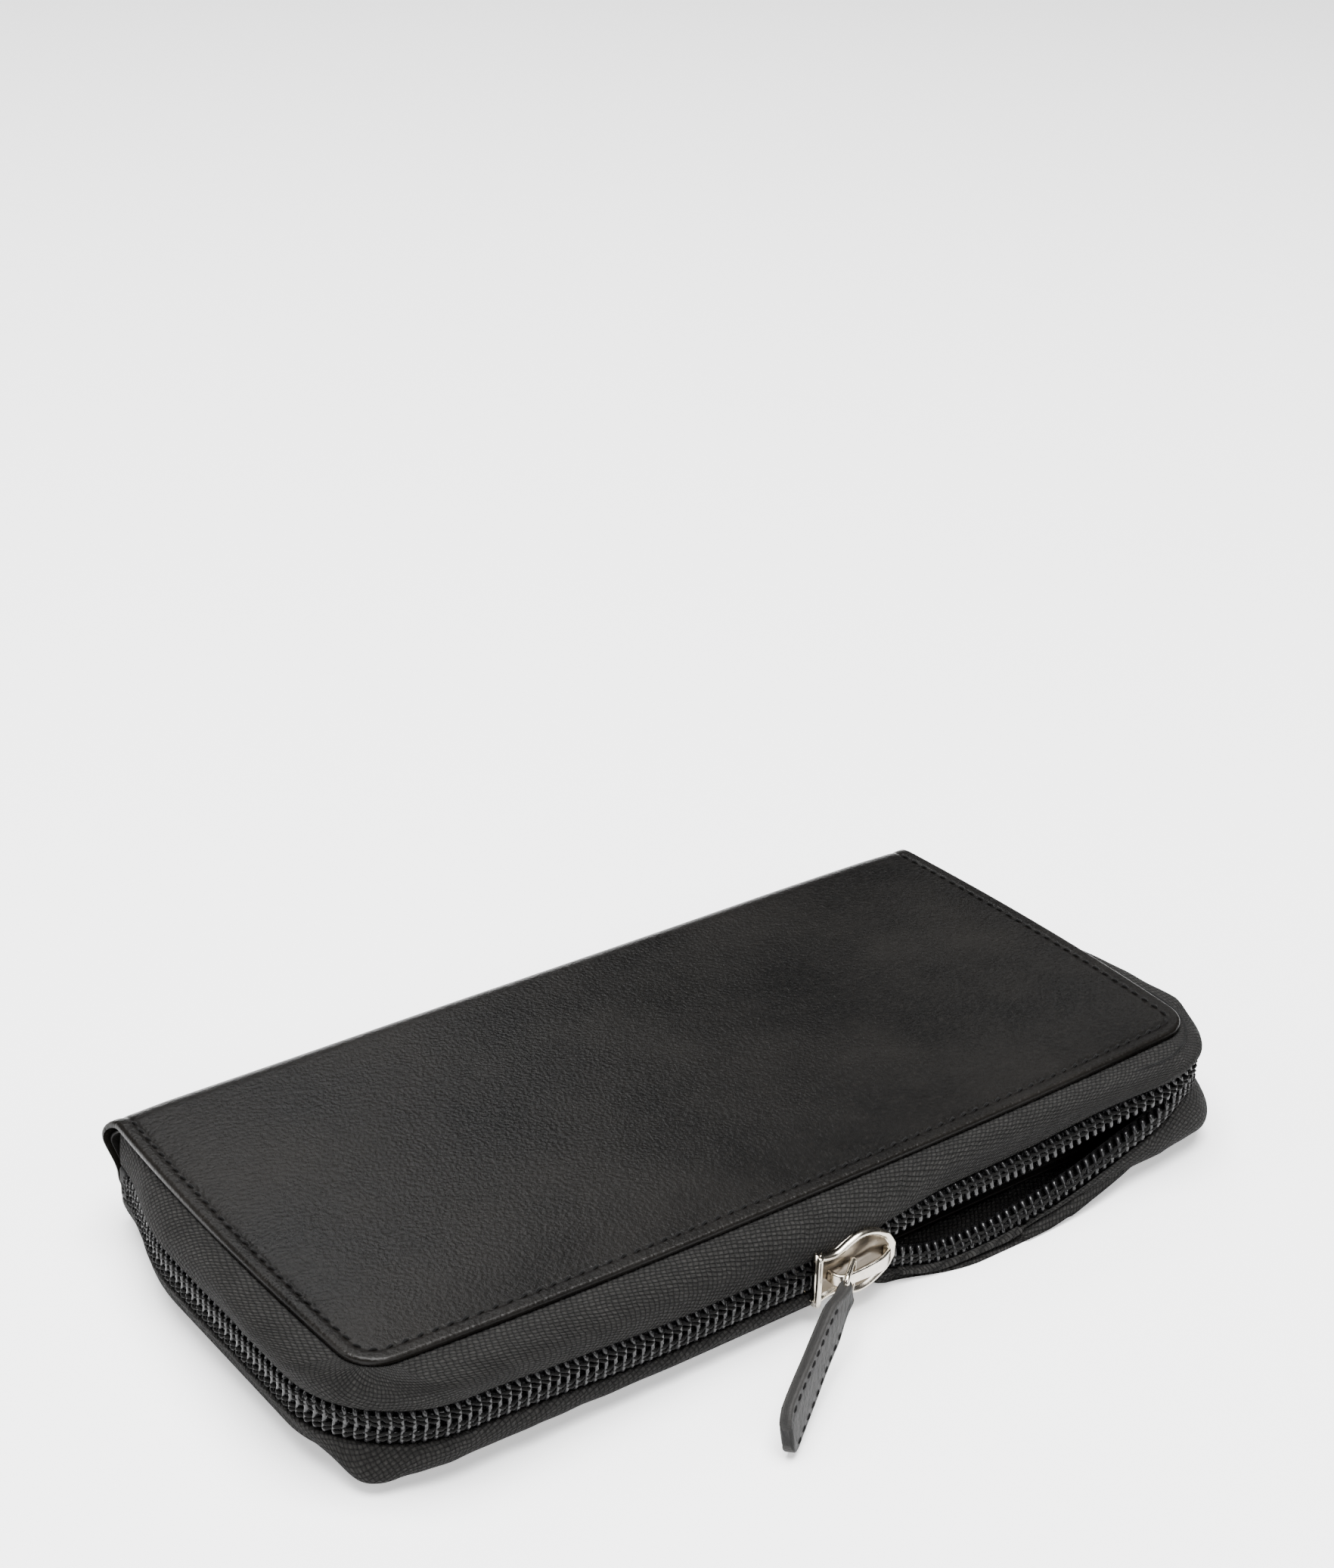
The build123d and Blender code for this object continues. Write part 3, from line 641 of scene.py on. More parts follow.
def zip_plan(s):
    """Plan point, outward direction and matching point of the leather's rim, at distance s along the zip."""
    s = np.asarray(s, float)
    mirrored = s > LOOP / 2
    t = np.where(mirrored, LOOP - s, s)
    corner = np.clip((t - SIDE_RUN) / ARC, 0, 1)
    angle = corner * math.pi / 2
    x = -(ZIP_X - ZIP_RADIUS) - ZIP_RADIUS * np.cos(angle) + np.clip(t - SIDE_RUN - ARC, 0, None)
    y = ZIP_END - np.clip(t, 0, SIDE_RUN) - ZIP_RADIUS * np.sin(angle)
    nx, ny = -np.cos(angle), -np.sin(angle)
    side_v = (FACE_LENGTH + 1.5) + (CORNER - FACE_LENGTH - 1.5) * np.clip(t / SIDE_RUN, 0, 1)
    lx = -(HALF_LENGTH - CORNER) - CORNER * np.cos(angle)
    lx = lx + np.clip((t - SIDE_RUN - ARC) / (FRONT_RUN / 2), 0, 1) * (HALF_LENGTH - CORNER)
    lv = np.where(t < SIDE_RUN, side_v, CORNER - CORNER * np.sin(angle))
    flip = np.where(mirrored, -1, 1)
    x = x * flip
    x = x + 1.8 * smooth((x - 40) / 60)
    return np.stack([x, y], -1), np.stack([nx * flip, ny], -1), np.stack([lx * flip, lv], -1)


def through(knots, x):
    """A smooth line through a few knots."""
    kx, ky = np.array(knots, float).T
    slope = np.gradient(ky, kx)
    i = np.clip(np.searchsorted(kx, x) - 1, 0, len(kx) - 2)
    h = kx[i + 1] - kx[i]
    t = np.clip((x - kx[i]) / h, 0, 1)
    return ((1 + 2 * t) * (1 - t) ** 2 * ky[i] + t * (1 - t) ** 2 * h * slope[i]
            + t * t * (3 - 2 * t) * ky[i + 1] + t * t * (t - 1) * h * slope[i + 1])


CHAIN_LOW = 10.2                 # height of the closed rows left of the slider
PART_X = 9.0                     # where the rows part, and where they meet again
MEET_X = 92.0
MEET_Z = MIDDLE + 3.6
UPPER_GAP = ((PART_X, CHAIN_LOW), (15, 11.0), (26, 11.5), (50, 12.1), (74, 14.5), (MEET_X, MEET_Z))
LOWER_GAP = ((PART_X, CHAIN_LOW), (15, 8.2), (25, 5.4), (38, 4.7), (53, 6.4), (73, 10.8), (MEET_X, MEET_Z))
HEAD = 0.85                      # how far meshed heads pass each other


def row_frame(s, upper):
    """Head and outer edge of one row at s, as outward offset and height, and how far the rows have parted."""
    plan, normal, rim = zip_plan(s)
    x, y = plan[:, 0], plan[:, 1]
    on_front = (s > SIDE_RUN + 0.35 * ARC) & (s < LOOP - SIDE_RUN - 0.35 * ARC)
    centre = MIDDLE - (MIDDLE - CHAIN_LOW) * smooth((x + 86) / 52)
    far_side = MIDDLE + (MEET_Z - MIDDLE) * smooth((20 - y) / 50)
    centre = np.where(x < PART_X, centre, far_side)
    gap = through(UPPER_GAP if upper else LOWER_GAP, np.clip(x, PART_X, MEET_X))
    parted = on_front & (x > PART_X)
    meeting = np.where(parted, gap, centre)
    other = through(LOWER_GAP if upper else UPPER_GAP, np.clip(x, PART_X, MEET_X))
    open_by = np.where(parted, np.abs(gap - other), 0)
    apart = smooth(open_by / 6.5) * smooth((x - PART_X) / 26)
    right_corner = np.exp(-((s - (LOOP - SIDE_RUN - ARC / 2)) / 17) ** 2)
    draw_in = 2.8 * right_corner - 6.0 * smooth((y - 6) / 34) ** 1.3
    sign = 1 if upper else -1
    head_z = meeting - sign * HEAD * (1 - smooth(open_by / 1.8))
    head_shift, edge_shift, lean = (0.2, -1.5, 1.7) if upper else (0.3, 3.1, 2.8)
    head_o = -COIL_DEPTH / 2 + head_shift * apart + draw_in
    out_o = -COIL_DEPTH / 2 + edge_shift * apart + draw_in
    rise = np.sqrt(ROW ** 2 - (lean * apart) ** 2)
    return plan, normal, rim, head_o, head_z, out_o, head_z + sign * rise, apart


def row_axes(s, upper):
    """Points of a row's head and outer edge in space, and the direction out of its face."""
    plan, normal, _, head_o, head_z, out_o, out_z, _ = row_frame(s, upper)
    head = np.concatenate([plan + normal * head_o[:, None], head_z[:, None]], 1)
    outer = np.concatenate([plan + normal * out_o[:, None], out_z[:, None]], 1)
    across = unit(outer - head)
    along = unit(np.gradient((head + outer) / 2, axis=0))
    face = unit(np.cross(across, along))
    outward = np.concatenate([normal, np.zeros((len(normal), 1))], 1)
    face = face * np.sign(np.sum(face * outward, 1, keepdims=True))
    return head, outer, across, face


PITCH = 2.05                     # from one turn of the coil to the next


def make_row(upper):
    """One row of the large zip: its coil and core, the two threads that sew it down, and its tape."""
    side = "front" if upper else "back"
    phase = 0.0 if upper else 0.5
    wire = 0.5
    turns = int(LOOP / PITCH)
    per_turn = 18
    theta = (np.arange(turns * per_turn) / per_turn + phase) * math.tau
    lean = 0.62
    s = np.clip(PITCH / math.tau * (theta - lean * np.sin(theta - math.pi / 2)), 0.2, LOOP - 0.2)
    head, outer, across, face = row_axes(s, upper)
    c, d = np.cos(theta), np.sin(theta)
    flat = 0.85
    wide = np.sign(c) * np.abs(c) ** flat
    deep = np.sign(d) * np.abs(d) ** flat
    middle = (head + outer) / 2
    half = np.linalg.norm(outer - head, axis=1, keepdims=True) / 2 - wire * 0.6
    depth = COIL_DEPTH / 2 - wire
    swell = np.where(wide < -0.72, 0.12, 0)
    path = middle + across * half * wide[:, None] + face * (depth * deep)[:, None]
    radius = wire * (1 + swell)
    coil_v, coil_f, coil_uv = tube_data(path, radius, 7, (0.31, 0.2, 0.93))
    core_s = np.arange(0.3, LOOP - 0.3, 1.0)
    head, outer, across, face = row_axes(core_s, upper)
    core = tube_data(head + across * ROW * 0.58, 0.55, 6, (0, 0, 1))
    body = piece(f"{side}_coil", *joined([(coil_v, coil_f, coil_uv), core])[:2], NYLON)
    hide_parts(f"{side}_zip_coil")
    bend_row(body)

    parts = []
    fine = np.arange(0.3, LOOP - 0.3, PITCH / 8)
    head, outer, across, face = row_axes(fine, upper)
    wave = fine / PITCH * math.tau - phase * math.tau
    for place, shift in ((0.43, 0.0), (0.66, math.pi)):
        lift = COIL_DEPTH / 2 - 0.26 + 0.3 * np.cos(wave)
        path = head + across * (ROW * place + 0.14 * np.sin(wave / 2 + shift))[:, None] + face * lift[:, None]
        parts.append(tube_data(path, 0.3, 6, (0, 0, 1)))
    sewn = piece(f"{side}_coil_threads", *joined(parts)[:2], THREAD)
    bend_row(sewn)

    s = np.arange(0, LOOP, 1.6)
    head, outer, across, face = row_axes(s, upper)
    lines = np.array([0.10, 0.16, 0.5, 1.0, 1.5, 2.0]) * ROW
    back = -COIL_DEPTH / 2 - 0.05
    top = head[:, None] + across[:, None] * lines[None, :, None] + face[:, None] * back
    under = top - face[:, None] * 0.55
    uv = np.stack(np.broadcast_arrays(s[:, None], lines[None]), -1)
    tape = shell(f"{side}_tape", top, under, TAPE, uv, flip=upper)
    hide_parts(f"{side}_zip_tape")
    bend_row(tape)


def bezier(a, b, c, d, t):
    """A point of a cubic curve."""
    return (1 - t) ** 3 * a + 3 * t * (1 - t) ** 2 * b + 3 * t * t * (1 - t) * c + t ** 3 * d


def walked_along(points):
    """Length of a line of points."""
    return np.linalg.norm(np.diff(points, axis=0), axis=1).sum()


def make_gusset(upper):
    """The cloth wall between the leather's rim and the zip, pillowed out and turned under beside the coil."""
    side = "front" if upper else "back"
    sign = 1 if upper else -1
    s = np.concatenate([np.linspace(0, SIDE_RUN, 56)[:-1], np.linspace(SIDE_RUN, SIDE_RUN + ARC, 44)[:-1],
                        np.linspace(SIDE_RUN + ARC, LOOP - SIDE_RUN - ARC, 150)[:-1],
                        np.linspace(LOOP - SIDE_RUN - ARC, LOOP - SIDE_RUN, 44)[:-1],
                        np.linspace(LOOP - SIDE_RUN, LOOP, 56)])
    plan, normal, rim, *_, apart = row_frame(s, upper)
    outer, across, face = row_axes(s, upper)[1:]
    edge = skin_point(rim[:, 0], rim[:, 1], LEATHER + 0.5, upper)
    outward = np.concatenate([normal, np.zeros((len(s), 1))], 1)
    up = np.array([0, 0, sign], float)
    start = edge - outward * 1.3
    end = outer + across * 0.62 + face * (COIL_DEPTH / 2 - 0.15)
    fall = np.abs(start[:, 2] - end[:, 2])
    reach = np.linalg.norm((end - start)[:, :2], axis=1)
    right = smooth((s - LOOP / 2) / 20)
    corner = np.exp(-((np.abs(s - LOOP / 2) - (FRONT_RUN / 2 + ARC / 2)) / (8.0 + 3.5 * right)) ** 2)
    on_front = smooth((s - SIDE_RUN - ARC * 0.5) / 12) * smooth((LOOP - s - SIDE_RUN - ARC * 0.5) / 12)
    bulge = 4.2 + 0.25 * np.clip(9 - fall, 0, 6) - 1.6 * right
    near_spine = smooth((plan[:, 1] + 22) / 38)
    bulge = bulge * (1 - 0.97 * near_spine)
    puff = 1.0 + 0.10 * lumps(s, s * 0.3, 34, 11 if upper else 12)
    low_corner = np.zeros_like(s)
    if not upper:
        bulge = (-0.6 + 2.9 * on_front + 0.25 * np.clip(9 - fall, 0, 6) * on_front) * (1 - 0.85 * apart)
        low_corner = corner * (10.5 + 0.5 * right)
    stretch = (0.95 - 0.1 * right - 0.75 * near_spine) if upper else 0.35 + 0.27 * on_front
    out_one = outward * (reach * stretch * puff + low_corner)[:, None]
    out_two = outward * (bulge * 0.55 * puff + low_corner * (0.25 + 0.25 * right))[:, None]
    first = start + out_one + up * (0.7 if upper else 1.6)
    second = end + out_two + up * (fall * (0.62 if upper else 0.5))[:, None]
    rows = [bezier(start, first, second, end, t) for t in np.linspace(0, 1, 22)]
    turned = []
    for angle in np.linspace(0.35, math.pi, 6):
        turned.append(end - face * (0.55 * (1 - math.cos(angle))) - across * (0.42 * math.sin(angle)))
    last = turned[-1]
    turned += [last + across * 1.2, last + across * 3.0]
    grid = np.stack(rows + turned, 0)
    weave_s, weave_t = np.meshgrid(s, np.linspace(0, 12, len(grid)), indexing="xy")
    inside = smooth(weave_t / 3) * smooth((11 - weave_t) / 4)
    ripple = 0.16 * lumps(weave_s, weave_t * 1.4, 9, 21 if upper else 22)
    ripple = ripple + 0.22 * lumps(weave_s, weave_t * 0.7, 21, 23)
    swell = grid_normals(grid)
    swell = swell * np.sign(np.sum(swell[8] * outward, 1))[None, :, None]
    grid = grid + swell * (ripple * inside)[..., None]
    walked = walked_over(grid, 0)
    if not upper:
        grid[..., 2] = np.maximum(grid[..., 2], 0.12)
    uv = np.stack([weave_s, walked], -1)
    under = grid - swell * 0.45
    if not upper:
        under[..., 2] = np.maximum(under[..., 2], 0.5)
    wall = shell(f"{side}_gusset_cloth", grid, under, GUSSET, uv, flip=not upper)
    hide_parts(f"{side}_gusset")
    bend_wall(wall, upper)
    wide, long, cut = walked[-1].max() * MM, walked_along(grid[len(grid) // 2]) * MM, walked[-1].mean() * MM


for upper in (True, False):
    make_row(upper)
    make_gusset(upper)


# ---- small sewn-on and metal parts -------------------------------------------------------------
def band_data(path, half_width, half_thick, side_axis, corner=0.35, steps=3):
    """A strip swept along a path, with a rounded rectangular section."""
    path = np.asarray(path, float)
    count = len(path)
    tangent = unit(np.gradient(path, axis=0))
    side = np.broadcast_to(unit(np.asarray(side_axis, float)), path.shape)
    lift = unit(np.cross(tangent, side))
    half_width = np.broadcast_to(np.asarray(half_width, float), count)
    half_thick = np.broadcast_to(np.asarray(half_thick, float), count)
    ring = []
    for cx, cy, first in ((1, 1, 0.0), (-1, 1, 0.25), (-1, -1, 0.5), (1, -1, 0.75)):
        for angle in (np.linspace(first, first + 0.25, steps) * math.tau):
            r = np.minimum(corner, np.minimum(half_width, half_thick) * 0.95)
            across = cx * (half_width - r) + r * math.cos(angle)
            over = cy * (half_thick - r) + r * math.sin(angle)
            ring.append(path + side * across[:, None] + lift * over[:, None])
    return np.stack(ring, 1).reshape(-1, 3), ring_faces(count, len(ring))


def inset_outline(outline, amount):
    """A closed outline moved inwards by amount."""
    before, after = np.roll(outline, 1, 0), np.roll(outline, -1, 0)
    direction = unit(after - before)
    inward = np.stack([-direction[:, 1], direction[:, 0]], 1)
    return outline + inward * amount


def stacked(outline, levels, place):
    """A solid made of an outline at successive (inset, level) steps, closed at both ends."""
    rings = [place(inset_outline(outline, inset), level) for inset, level in levels]
    return np.concatenate(rings), ring_faces(len(rings), len(outline))


SHELL_LOW, SHELL_HIGH = box_mm("main_slider_shell")
SLIDER_Z = (SHELL_LOW[2] + SHELL_HIGH[2]) / 2
PLATE_FACE = ZIP_FRONT - 1.7


def make_slider():
    """Cast slider: a waisted plate with a raised rim, lips round the rows, and a looped bridge."""
    knots = ((SHELL_LOW[0], 5.9), (-3.2, 4.9), (-0.6, 4.7), (2.2, 5.9), (4.6, 6.7), (7.5, 6.5), (10.6, 5.1),
             (12.8, 3.4), (SHELL_HIGH[0], 1.4))
    x = np.linspace(SHELL_LOW[0], SHELL_HIGH[0], 46)
    half = through(knots, x)
    low = np.stack([x, -half], 1)
    high = np.stack([x, half], 1)[::-1]
    outline = np.concatenate([low, high])
    place = lambda ring, level: np.stack([ring[:, 0], np.full(len(ring), level), SLIDER_Z + ring[:, 1]], 1)
    inner = ZIP_FRONT - 0.3
    levels = [(0.25, inner), (0, inner - 0.25), (0, PLATE_FACE + 0.1), (0.3, PLATE_FACE - 0.25),
              (0.8, PLATE_FACE - 0.3), (1.15, PLATE_FACE + 0.35), (1.5, PLATE_FACE + 0.5)]
    plate = stacked(outline, levels, place)
    parts = [plate]
    run = np.linspace(SHELL_LOW[0] + 0.2, 10.2, 30)
    wide = through(knots, run)
    for sign in (1, -1):
        wall = np.stack([run, np.full(len(run), ZIP_FRONT + 0.9), SLIDER_Z + sign * (wide - 0.5)], 1)
        parts.append(band_data(wall, 1.75, 0.5, (0, 1, 0), corner=0.3))
        lip = np.stack([run, np.full(len(run), ZIP_FRONT + 2.5), SLIDER_Z + sign * (wide - 1.15)], 1)
        parts.append(band_data(lip, 0.38, 1.05, (0, 1, 0), corner=0.3))
    out = SHELL_LOW[1]
    arch = np.array([(-2.0, PLATE_FACE + 0.4), (-1.9, PLATE_FACE - 1.1), (-1.2, out + 0.85), (0.4, out + 0.5),
                     (3.4, out + 0.4), (6.6, out + 0.45), (8.8, out + 0.75), (10.5, out + 1.5),
                     (11.4, PLATE_FACE - 0.9), (11.6, PLATE_FACE + 0.4)])
    t = np.linspace(0, len(arch) - 1, 60)
    line = np.stack([through(np.stack([np.arange(len(arch)), arch[:, k]], 1), t) for k in (0, 1)], 1)
    path = np.stack([line[:, 0], line[:, 1], np.full(len(line), SLIDER_Z)], 1)
    wide = 1.25 + 0.35 * smooth((line[:, 0] - 1) / 8) - 0.3 * smooth((line[:, 0] - 10) / 2)
    parts.append(band_data(path, wide, 0.46, (0, 0, 1), corner=0.36, steps=4))
    rear_rim = np.linspace((SHELL_LOW[0] + 0.5, PLATE_FACE - 0.35, SLIDER_Z - 5.5),
                           (SHELL_LOW[0] + 0.5, PLATE_FACE - 0.35, SLIDER_Z + 5.5), 12)
    parts.append(band_data(rear_rim, 0.5, 0.5, (1, 0, 0), corner=0.25))
    body = piece("slider_body", *joined(parts)[:2], NICKEL)
    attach(body, "main_slider")
    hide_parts("main_slider_shell")
    # the recess floor in the darker nickel copy: painted shade and painted dark reflection in the hollow
    floor_levels = [(1.42, PLATE_FACE + 0.55), (1.42, PLATE_FACE + 0.4)]
    recess = piece("slider_recess", *stacked(outline, floor_levels, place), NICKEL_PAINTED_SHADE)
    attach(recess, "main_slider")


make_slider()

RING_PLACE = (2.6, -59.8)        # the ring's upright turning line, in plan
RING_TURN, RING_LENGTH, TAB_TURN = math.radians(40), 7.5, math.radians(35)
TAB_LENGTH, TAB_HALF, TAB_DROP = 36.5, 4.2, 5.4
TAB_ROLL = math.radians(9)


def make_pull():
    """Two plies of leather folded round the ring, sewn along both edges, hanging down on edge."""
    pivot = np.array([RING_PLACE[0] - RING_LENGTH * math.cos(RING_TURN),
                      RING_PLACE[1] - RING_LENGTH * math.sin(RING_TURN), SLIDER_Z])
    ahead = np.array([-math.cos(TAB_TURN), -math.sin(TAB_TURN), 0])
    level = np.array([-math.sin(TAB_TURN), math.cos(TAB_TURN), 0])
    upright = np.array([0, 0, math.cos(TAB_ROLL)]) + level * math.sin(TAB_ROLL)
    across = level * math.cos(TAB_ROLL) - np.array([0, 0, math.sin(TAB_ROLL)])
    along = np.concatenate([[-1.45, -1.3, -1.0, -0.5], np.linspace(0, TAB_LENGTH - 2.6, 60),
                            TAB_LENGTH - np.array([2.0, 1.5, 1.05, 0.7, 0.42, 0.2, 0.06, 0])])
    to_tip = TAB_LENGTH - along
    half = 2.15 + (TAB_HALF - 2.15) * smooth((along - 1.2) / 8.5)
    half = half + 0.5 * smooth((along - 12) / 20)
    half = half - 3.0 * rounding(to_tip / 3.2)
    thick = 1.38 - 0.16 * smooth(along / 5)
    thick = thick - 0.55 * rounding(to_tip / 0.6)
    thick = thick - 1.0 * rounding((along + 1.45) / 1.4)
    drop = TAB_DROP * (np.clip(along, 0, None) / TAB_LENGTH) ** 1.25
    bend = 0.5 * hump(along / TAB_LENGTH) + 0.5 * smooth((along - 20) / 16)
    centre = pivot + ahead * along[:, None] + across * bend[:, None] - np.array([0, 0, 1.0]) * drop[:, None]
    ring = []
    sections = 52
    for k in range(sections):
        a = (k + 0.5) / sections * math.tau
        cosine, sine = math.cos(a), math.sin(a)
        w = np.sign(cosine) * abs(cosine) ** 0.28
        q = np.sign(sine) * abs(sine) ** 0.30
        face_in = -0.10 * np.exp(-(((1 - abs(w)) * half - 1.25) / 0.35) ** 2) if abs(q) > 0.8 else 0
        seam = 0.22 * math.exp(-(q / 0.16) ** 2) if abs(w) > 0.9 else 0
        ring.append(centre + across * (q * thick + np.sign(q) * face_in)[:, None]
                    + upright * (w * (half - seam))[:, None])
    grid = np.stack(ring, 1)
    faces = [face[::-1] for face in ring_faces(*grid.shape[:2])]
    around = walked_over(grid, 1)
    uv = np.stack([np.broadcast_to(along[:, None], around.shape), around], -1).reshape(-1, 2)
    worn = np.abs(grid - centre[:, None])[..., 2] / np.maximum(half[:, None], 0.1)
    body = piece("pull_leather_strip", grid.reshape(-1, 3), faces, PULL_LEATHER, uv, wear=(worn > 0.9) * 0.8)
    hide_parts("leather_pull")
    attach(body, "pull")
    for tag, face in (("near", -1), ("far", 1)):
        for edge in (1, -1):
            keep = (along > 6.5) & (along < TAB_LENGTH - 1.8)
            line = centre[keep] + across * (face * thick[keep])[:, None]
            line = line + upright * (edge * (half[keep] - 1.3))[:, None]
            up = np.broadcast_to(across * face, line.shape)
            name = f"pull_stitches_{tag}_{'top' if edge > 0 else 'low'}"
            sewn = stitches(name, line, up, THREAD, pitch=2.6, thread=0.17, length=0.7, sink=0.1, lean=0.2)
            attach(sewn, "pull")


make_pull()


# ---- inside: pockets, window, card page and coin zip ------------------------------------------
LEAF_STEP = 3.0


def leaf(name, node, material, up=1, body="back_half", rise=False, crease=(), radius=1.2, wave=0.06,
         slant=0.0, curl=0.35):
    """A thin leaf in a node's box: rounded corners and edges, pressed crease lines and slight waves."""
    low, high = box_mm(node)
    fine = np.array([0, 0.08, 0.2, 0.4, 0.7, 1.0, 1.3, 1.7, 2.4])
    if high[0] - low[0] < 8 or high[1] - low[1] < 8:
        fine = fine[:7]
    xs = spread(low[0], high[0], fine, min(LEAF_STEP, (high[0] - low[0]) / 6))
    ys = spread(low[1], high[1], fine, min(LEAF_STEP, (high[1] - low[1]) / 6))
    y, x = np.meshgrid(ys, xs, indexing="ij")
    into = np.minimum(y - low[1], high[1] - y)
    nip = radius - np.sqrt(np.clip(radius ** 2 - np.clip(radius - into, 0, radius) ** 2, 0, None))
    middle = (low[0] + high[0]) / 2
    near = np.clip(1 - np.minimum(x - low[0], high[0] - x) / (radius * 2.2), 0, 1)
    x = x + np.where(x < middle, 1, -1) * nip * near
    lean = slant * np.clip((high[1] - y) / (high[1] - low[1]), 0, 1)
    x = x - lean * smooth((x - middle) / (high[0] - middle))
    from_mouth = high[0] - x - lean
    d = np.minimum(np.minimum(x - low[0], from_mouth), into)
    depth = high[2] - low[2]
    thin = min(depth, 0.52)
    lift = np.zeros_like(x)
    if rise:
        lift = (depth - thin) * smooth((x - low[0] - 1.6) / 3.4)
        x = x - 0.45 * hump((y - low[1]) / (high[1] - low[1])) * smooth((x - high[0] + 5) / 5)
    edge = thin * curl * rounding(d / 0.4)
    pressed = sum((0.14 * np.exp(-((from_mouth - c) / 0.22) ** 2) for c in crease), np.zeros_like(x))
    sway = wave * lumps(x, y, 30, len(name) + int(abs(low[0])))
    sway = sway - abs(wave)
    base = low[2] if up > 0 else high[2]
    top = base + up * (thin + lift - edge - pressed + sway * smooth(d / 3))
    under = base + up * (lift + np.minimum(edge, thin * 0.3))
    wear = 0.6 * np.exp(-(from_mouth / 0.5) ** 2) if rise else np.zeros_like(x)
    obj = shell(name, np.stack([x, y, top], -1), np.stack([x, y, under], -1), material, wear=wear,
                flip=up < 0)
    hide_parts(node)
    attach(obj, body)
    return obj


def sewn_line(name, start, end, up, body):
    """A straight row of stitches."""
    points = np.linspace(start, end, 40)
    normals = np.broadcast_to(np.array([0, 0, up], float), points.shape)
    row = stitches(name, points, normals, THREAD, pitch=2.9, thread=0.2, length=0.72, sink=0.0, lean=0.15)
    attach(row, body)


def card_column(prefix, count, up, body):
    """Stepped card leaves, each with a creased mouth, sewn down along both sides."""
    for number in range(1, count + 1):
        node = f"{prefix}_{number}"
        leaf(f"{node}_leather", node, INNER, up=up, body=body, rise=True, crease=(1.5,), radius=0.6)
        low, high = box_mm(node)
        level = (high[2] - 0.06) if up > 0 else (low[2] + 0.06)
        stop = low[0] + 5.5
        for tag, y in (("free", low[1] + 1.7), ("spine", high[1] - 1.7)):
            sewn_line(f"{node}_stitches_{tag}", (high[0] - 0.8, y, level), (stop, y, level), up, body)
    low, high = box_mm(f"{prefix}_{count}")
    level = (high[2] - 0.06) if up > 0 else (low[2] + 0.06)
    end = low[0] + 1.7
    sewn_line(f"{prefix}_end_stitches", (end, low[1] + 2, level), (end, high[1] - 2, level), up, body)


leaf("card_backing_leather", "card_backing", INNER, radius=1.0)
card_column("card_slot", 9, 1, "back_half")
for ply, up in (("card", -1), ("window", 1)):
    leaf(f"page_{ply}_leather", f"page_{ply}_ply", INNER, up=up, body="card_page", radius=6.0, slant=14.0,
         curl=0.5)
leaf("page_hinge_leather", "page_hinge_strip", INNER, up=1, body="card_page", radius=0.5, wave=0)
card_column("page_slot", 6, -1, "card_page")

PAGE_LOW, PAGE_HIGH = box_mm("page_window_ply")
PAGE_SEAMS = (("free", (PAGE_LOW[0] + 4, PAGE_LOW[1] + 1.8), (PAGE_HIGH[0] - 17, PAGE_LOW[1] + 1.8)),
              ("top", (PAGE_HIGH[0] - 14.4, PAGE_LOW[1] + 4), (PAGE_HIGH[0] - 2.2, PAGE_HIGH[1] - 3)),
              ("end", (PAGE_LOW[0] + 1.8, PAGE_LOW[1] + 4), (PAGE_LOW[0] + 1.8, PAGE_HIGH[1] - 3)))
for tag, start, end in PAGE_SEAMS:
    level = PAGE_LOW[2] + 0.46
    sewn_line(f"page_stitches_{tag}", (*start, level), (*end, level), 1, "card_page")


def inside_box(x, y, low, high):
    """How far in from a box's nearest side each point is."""
    return np.minimum(np.minimum(x - low[0], high[0] - x), np.minimum(y - low[1], high[1] - y))


def box_corners(low, high, margin):
    """Corners of a box in plan, moved in by margin."""
    return [(low[0] + margin, low[1] + margin), (high[0] - margin, low[1] + margin),
            (high[0] - margin, high[1] - margin), (low[0] + margin, high[1] - margin)]


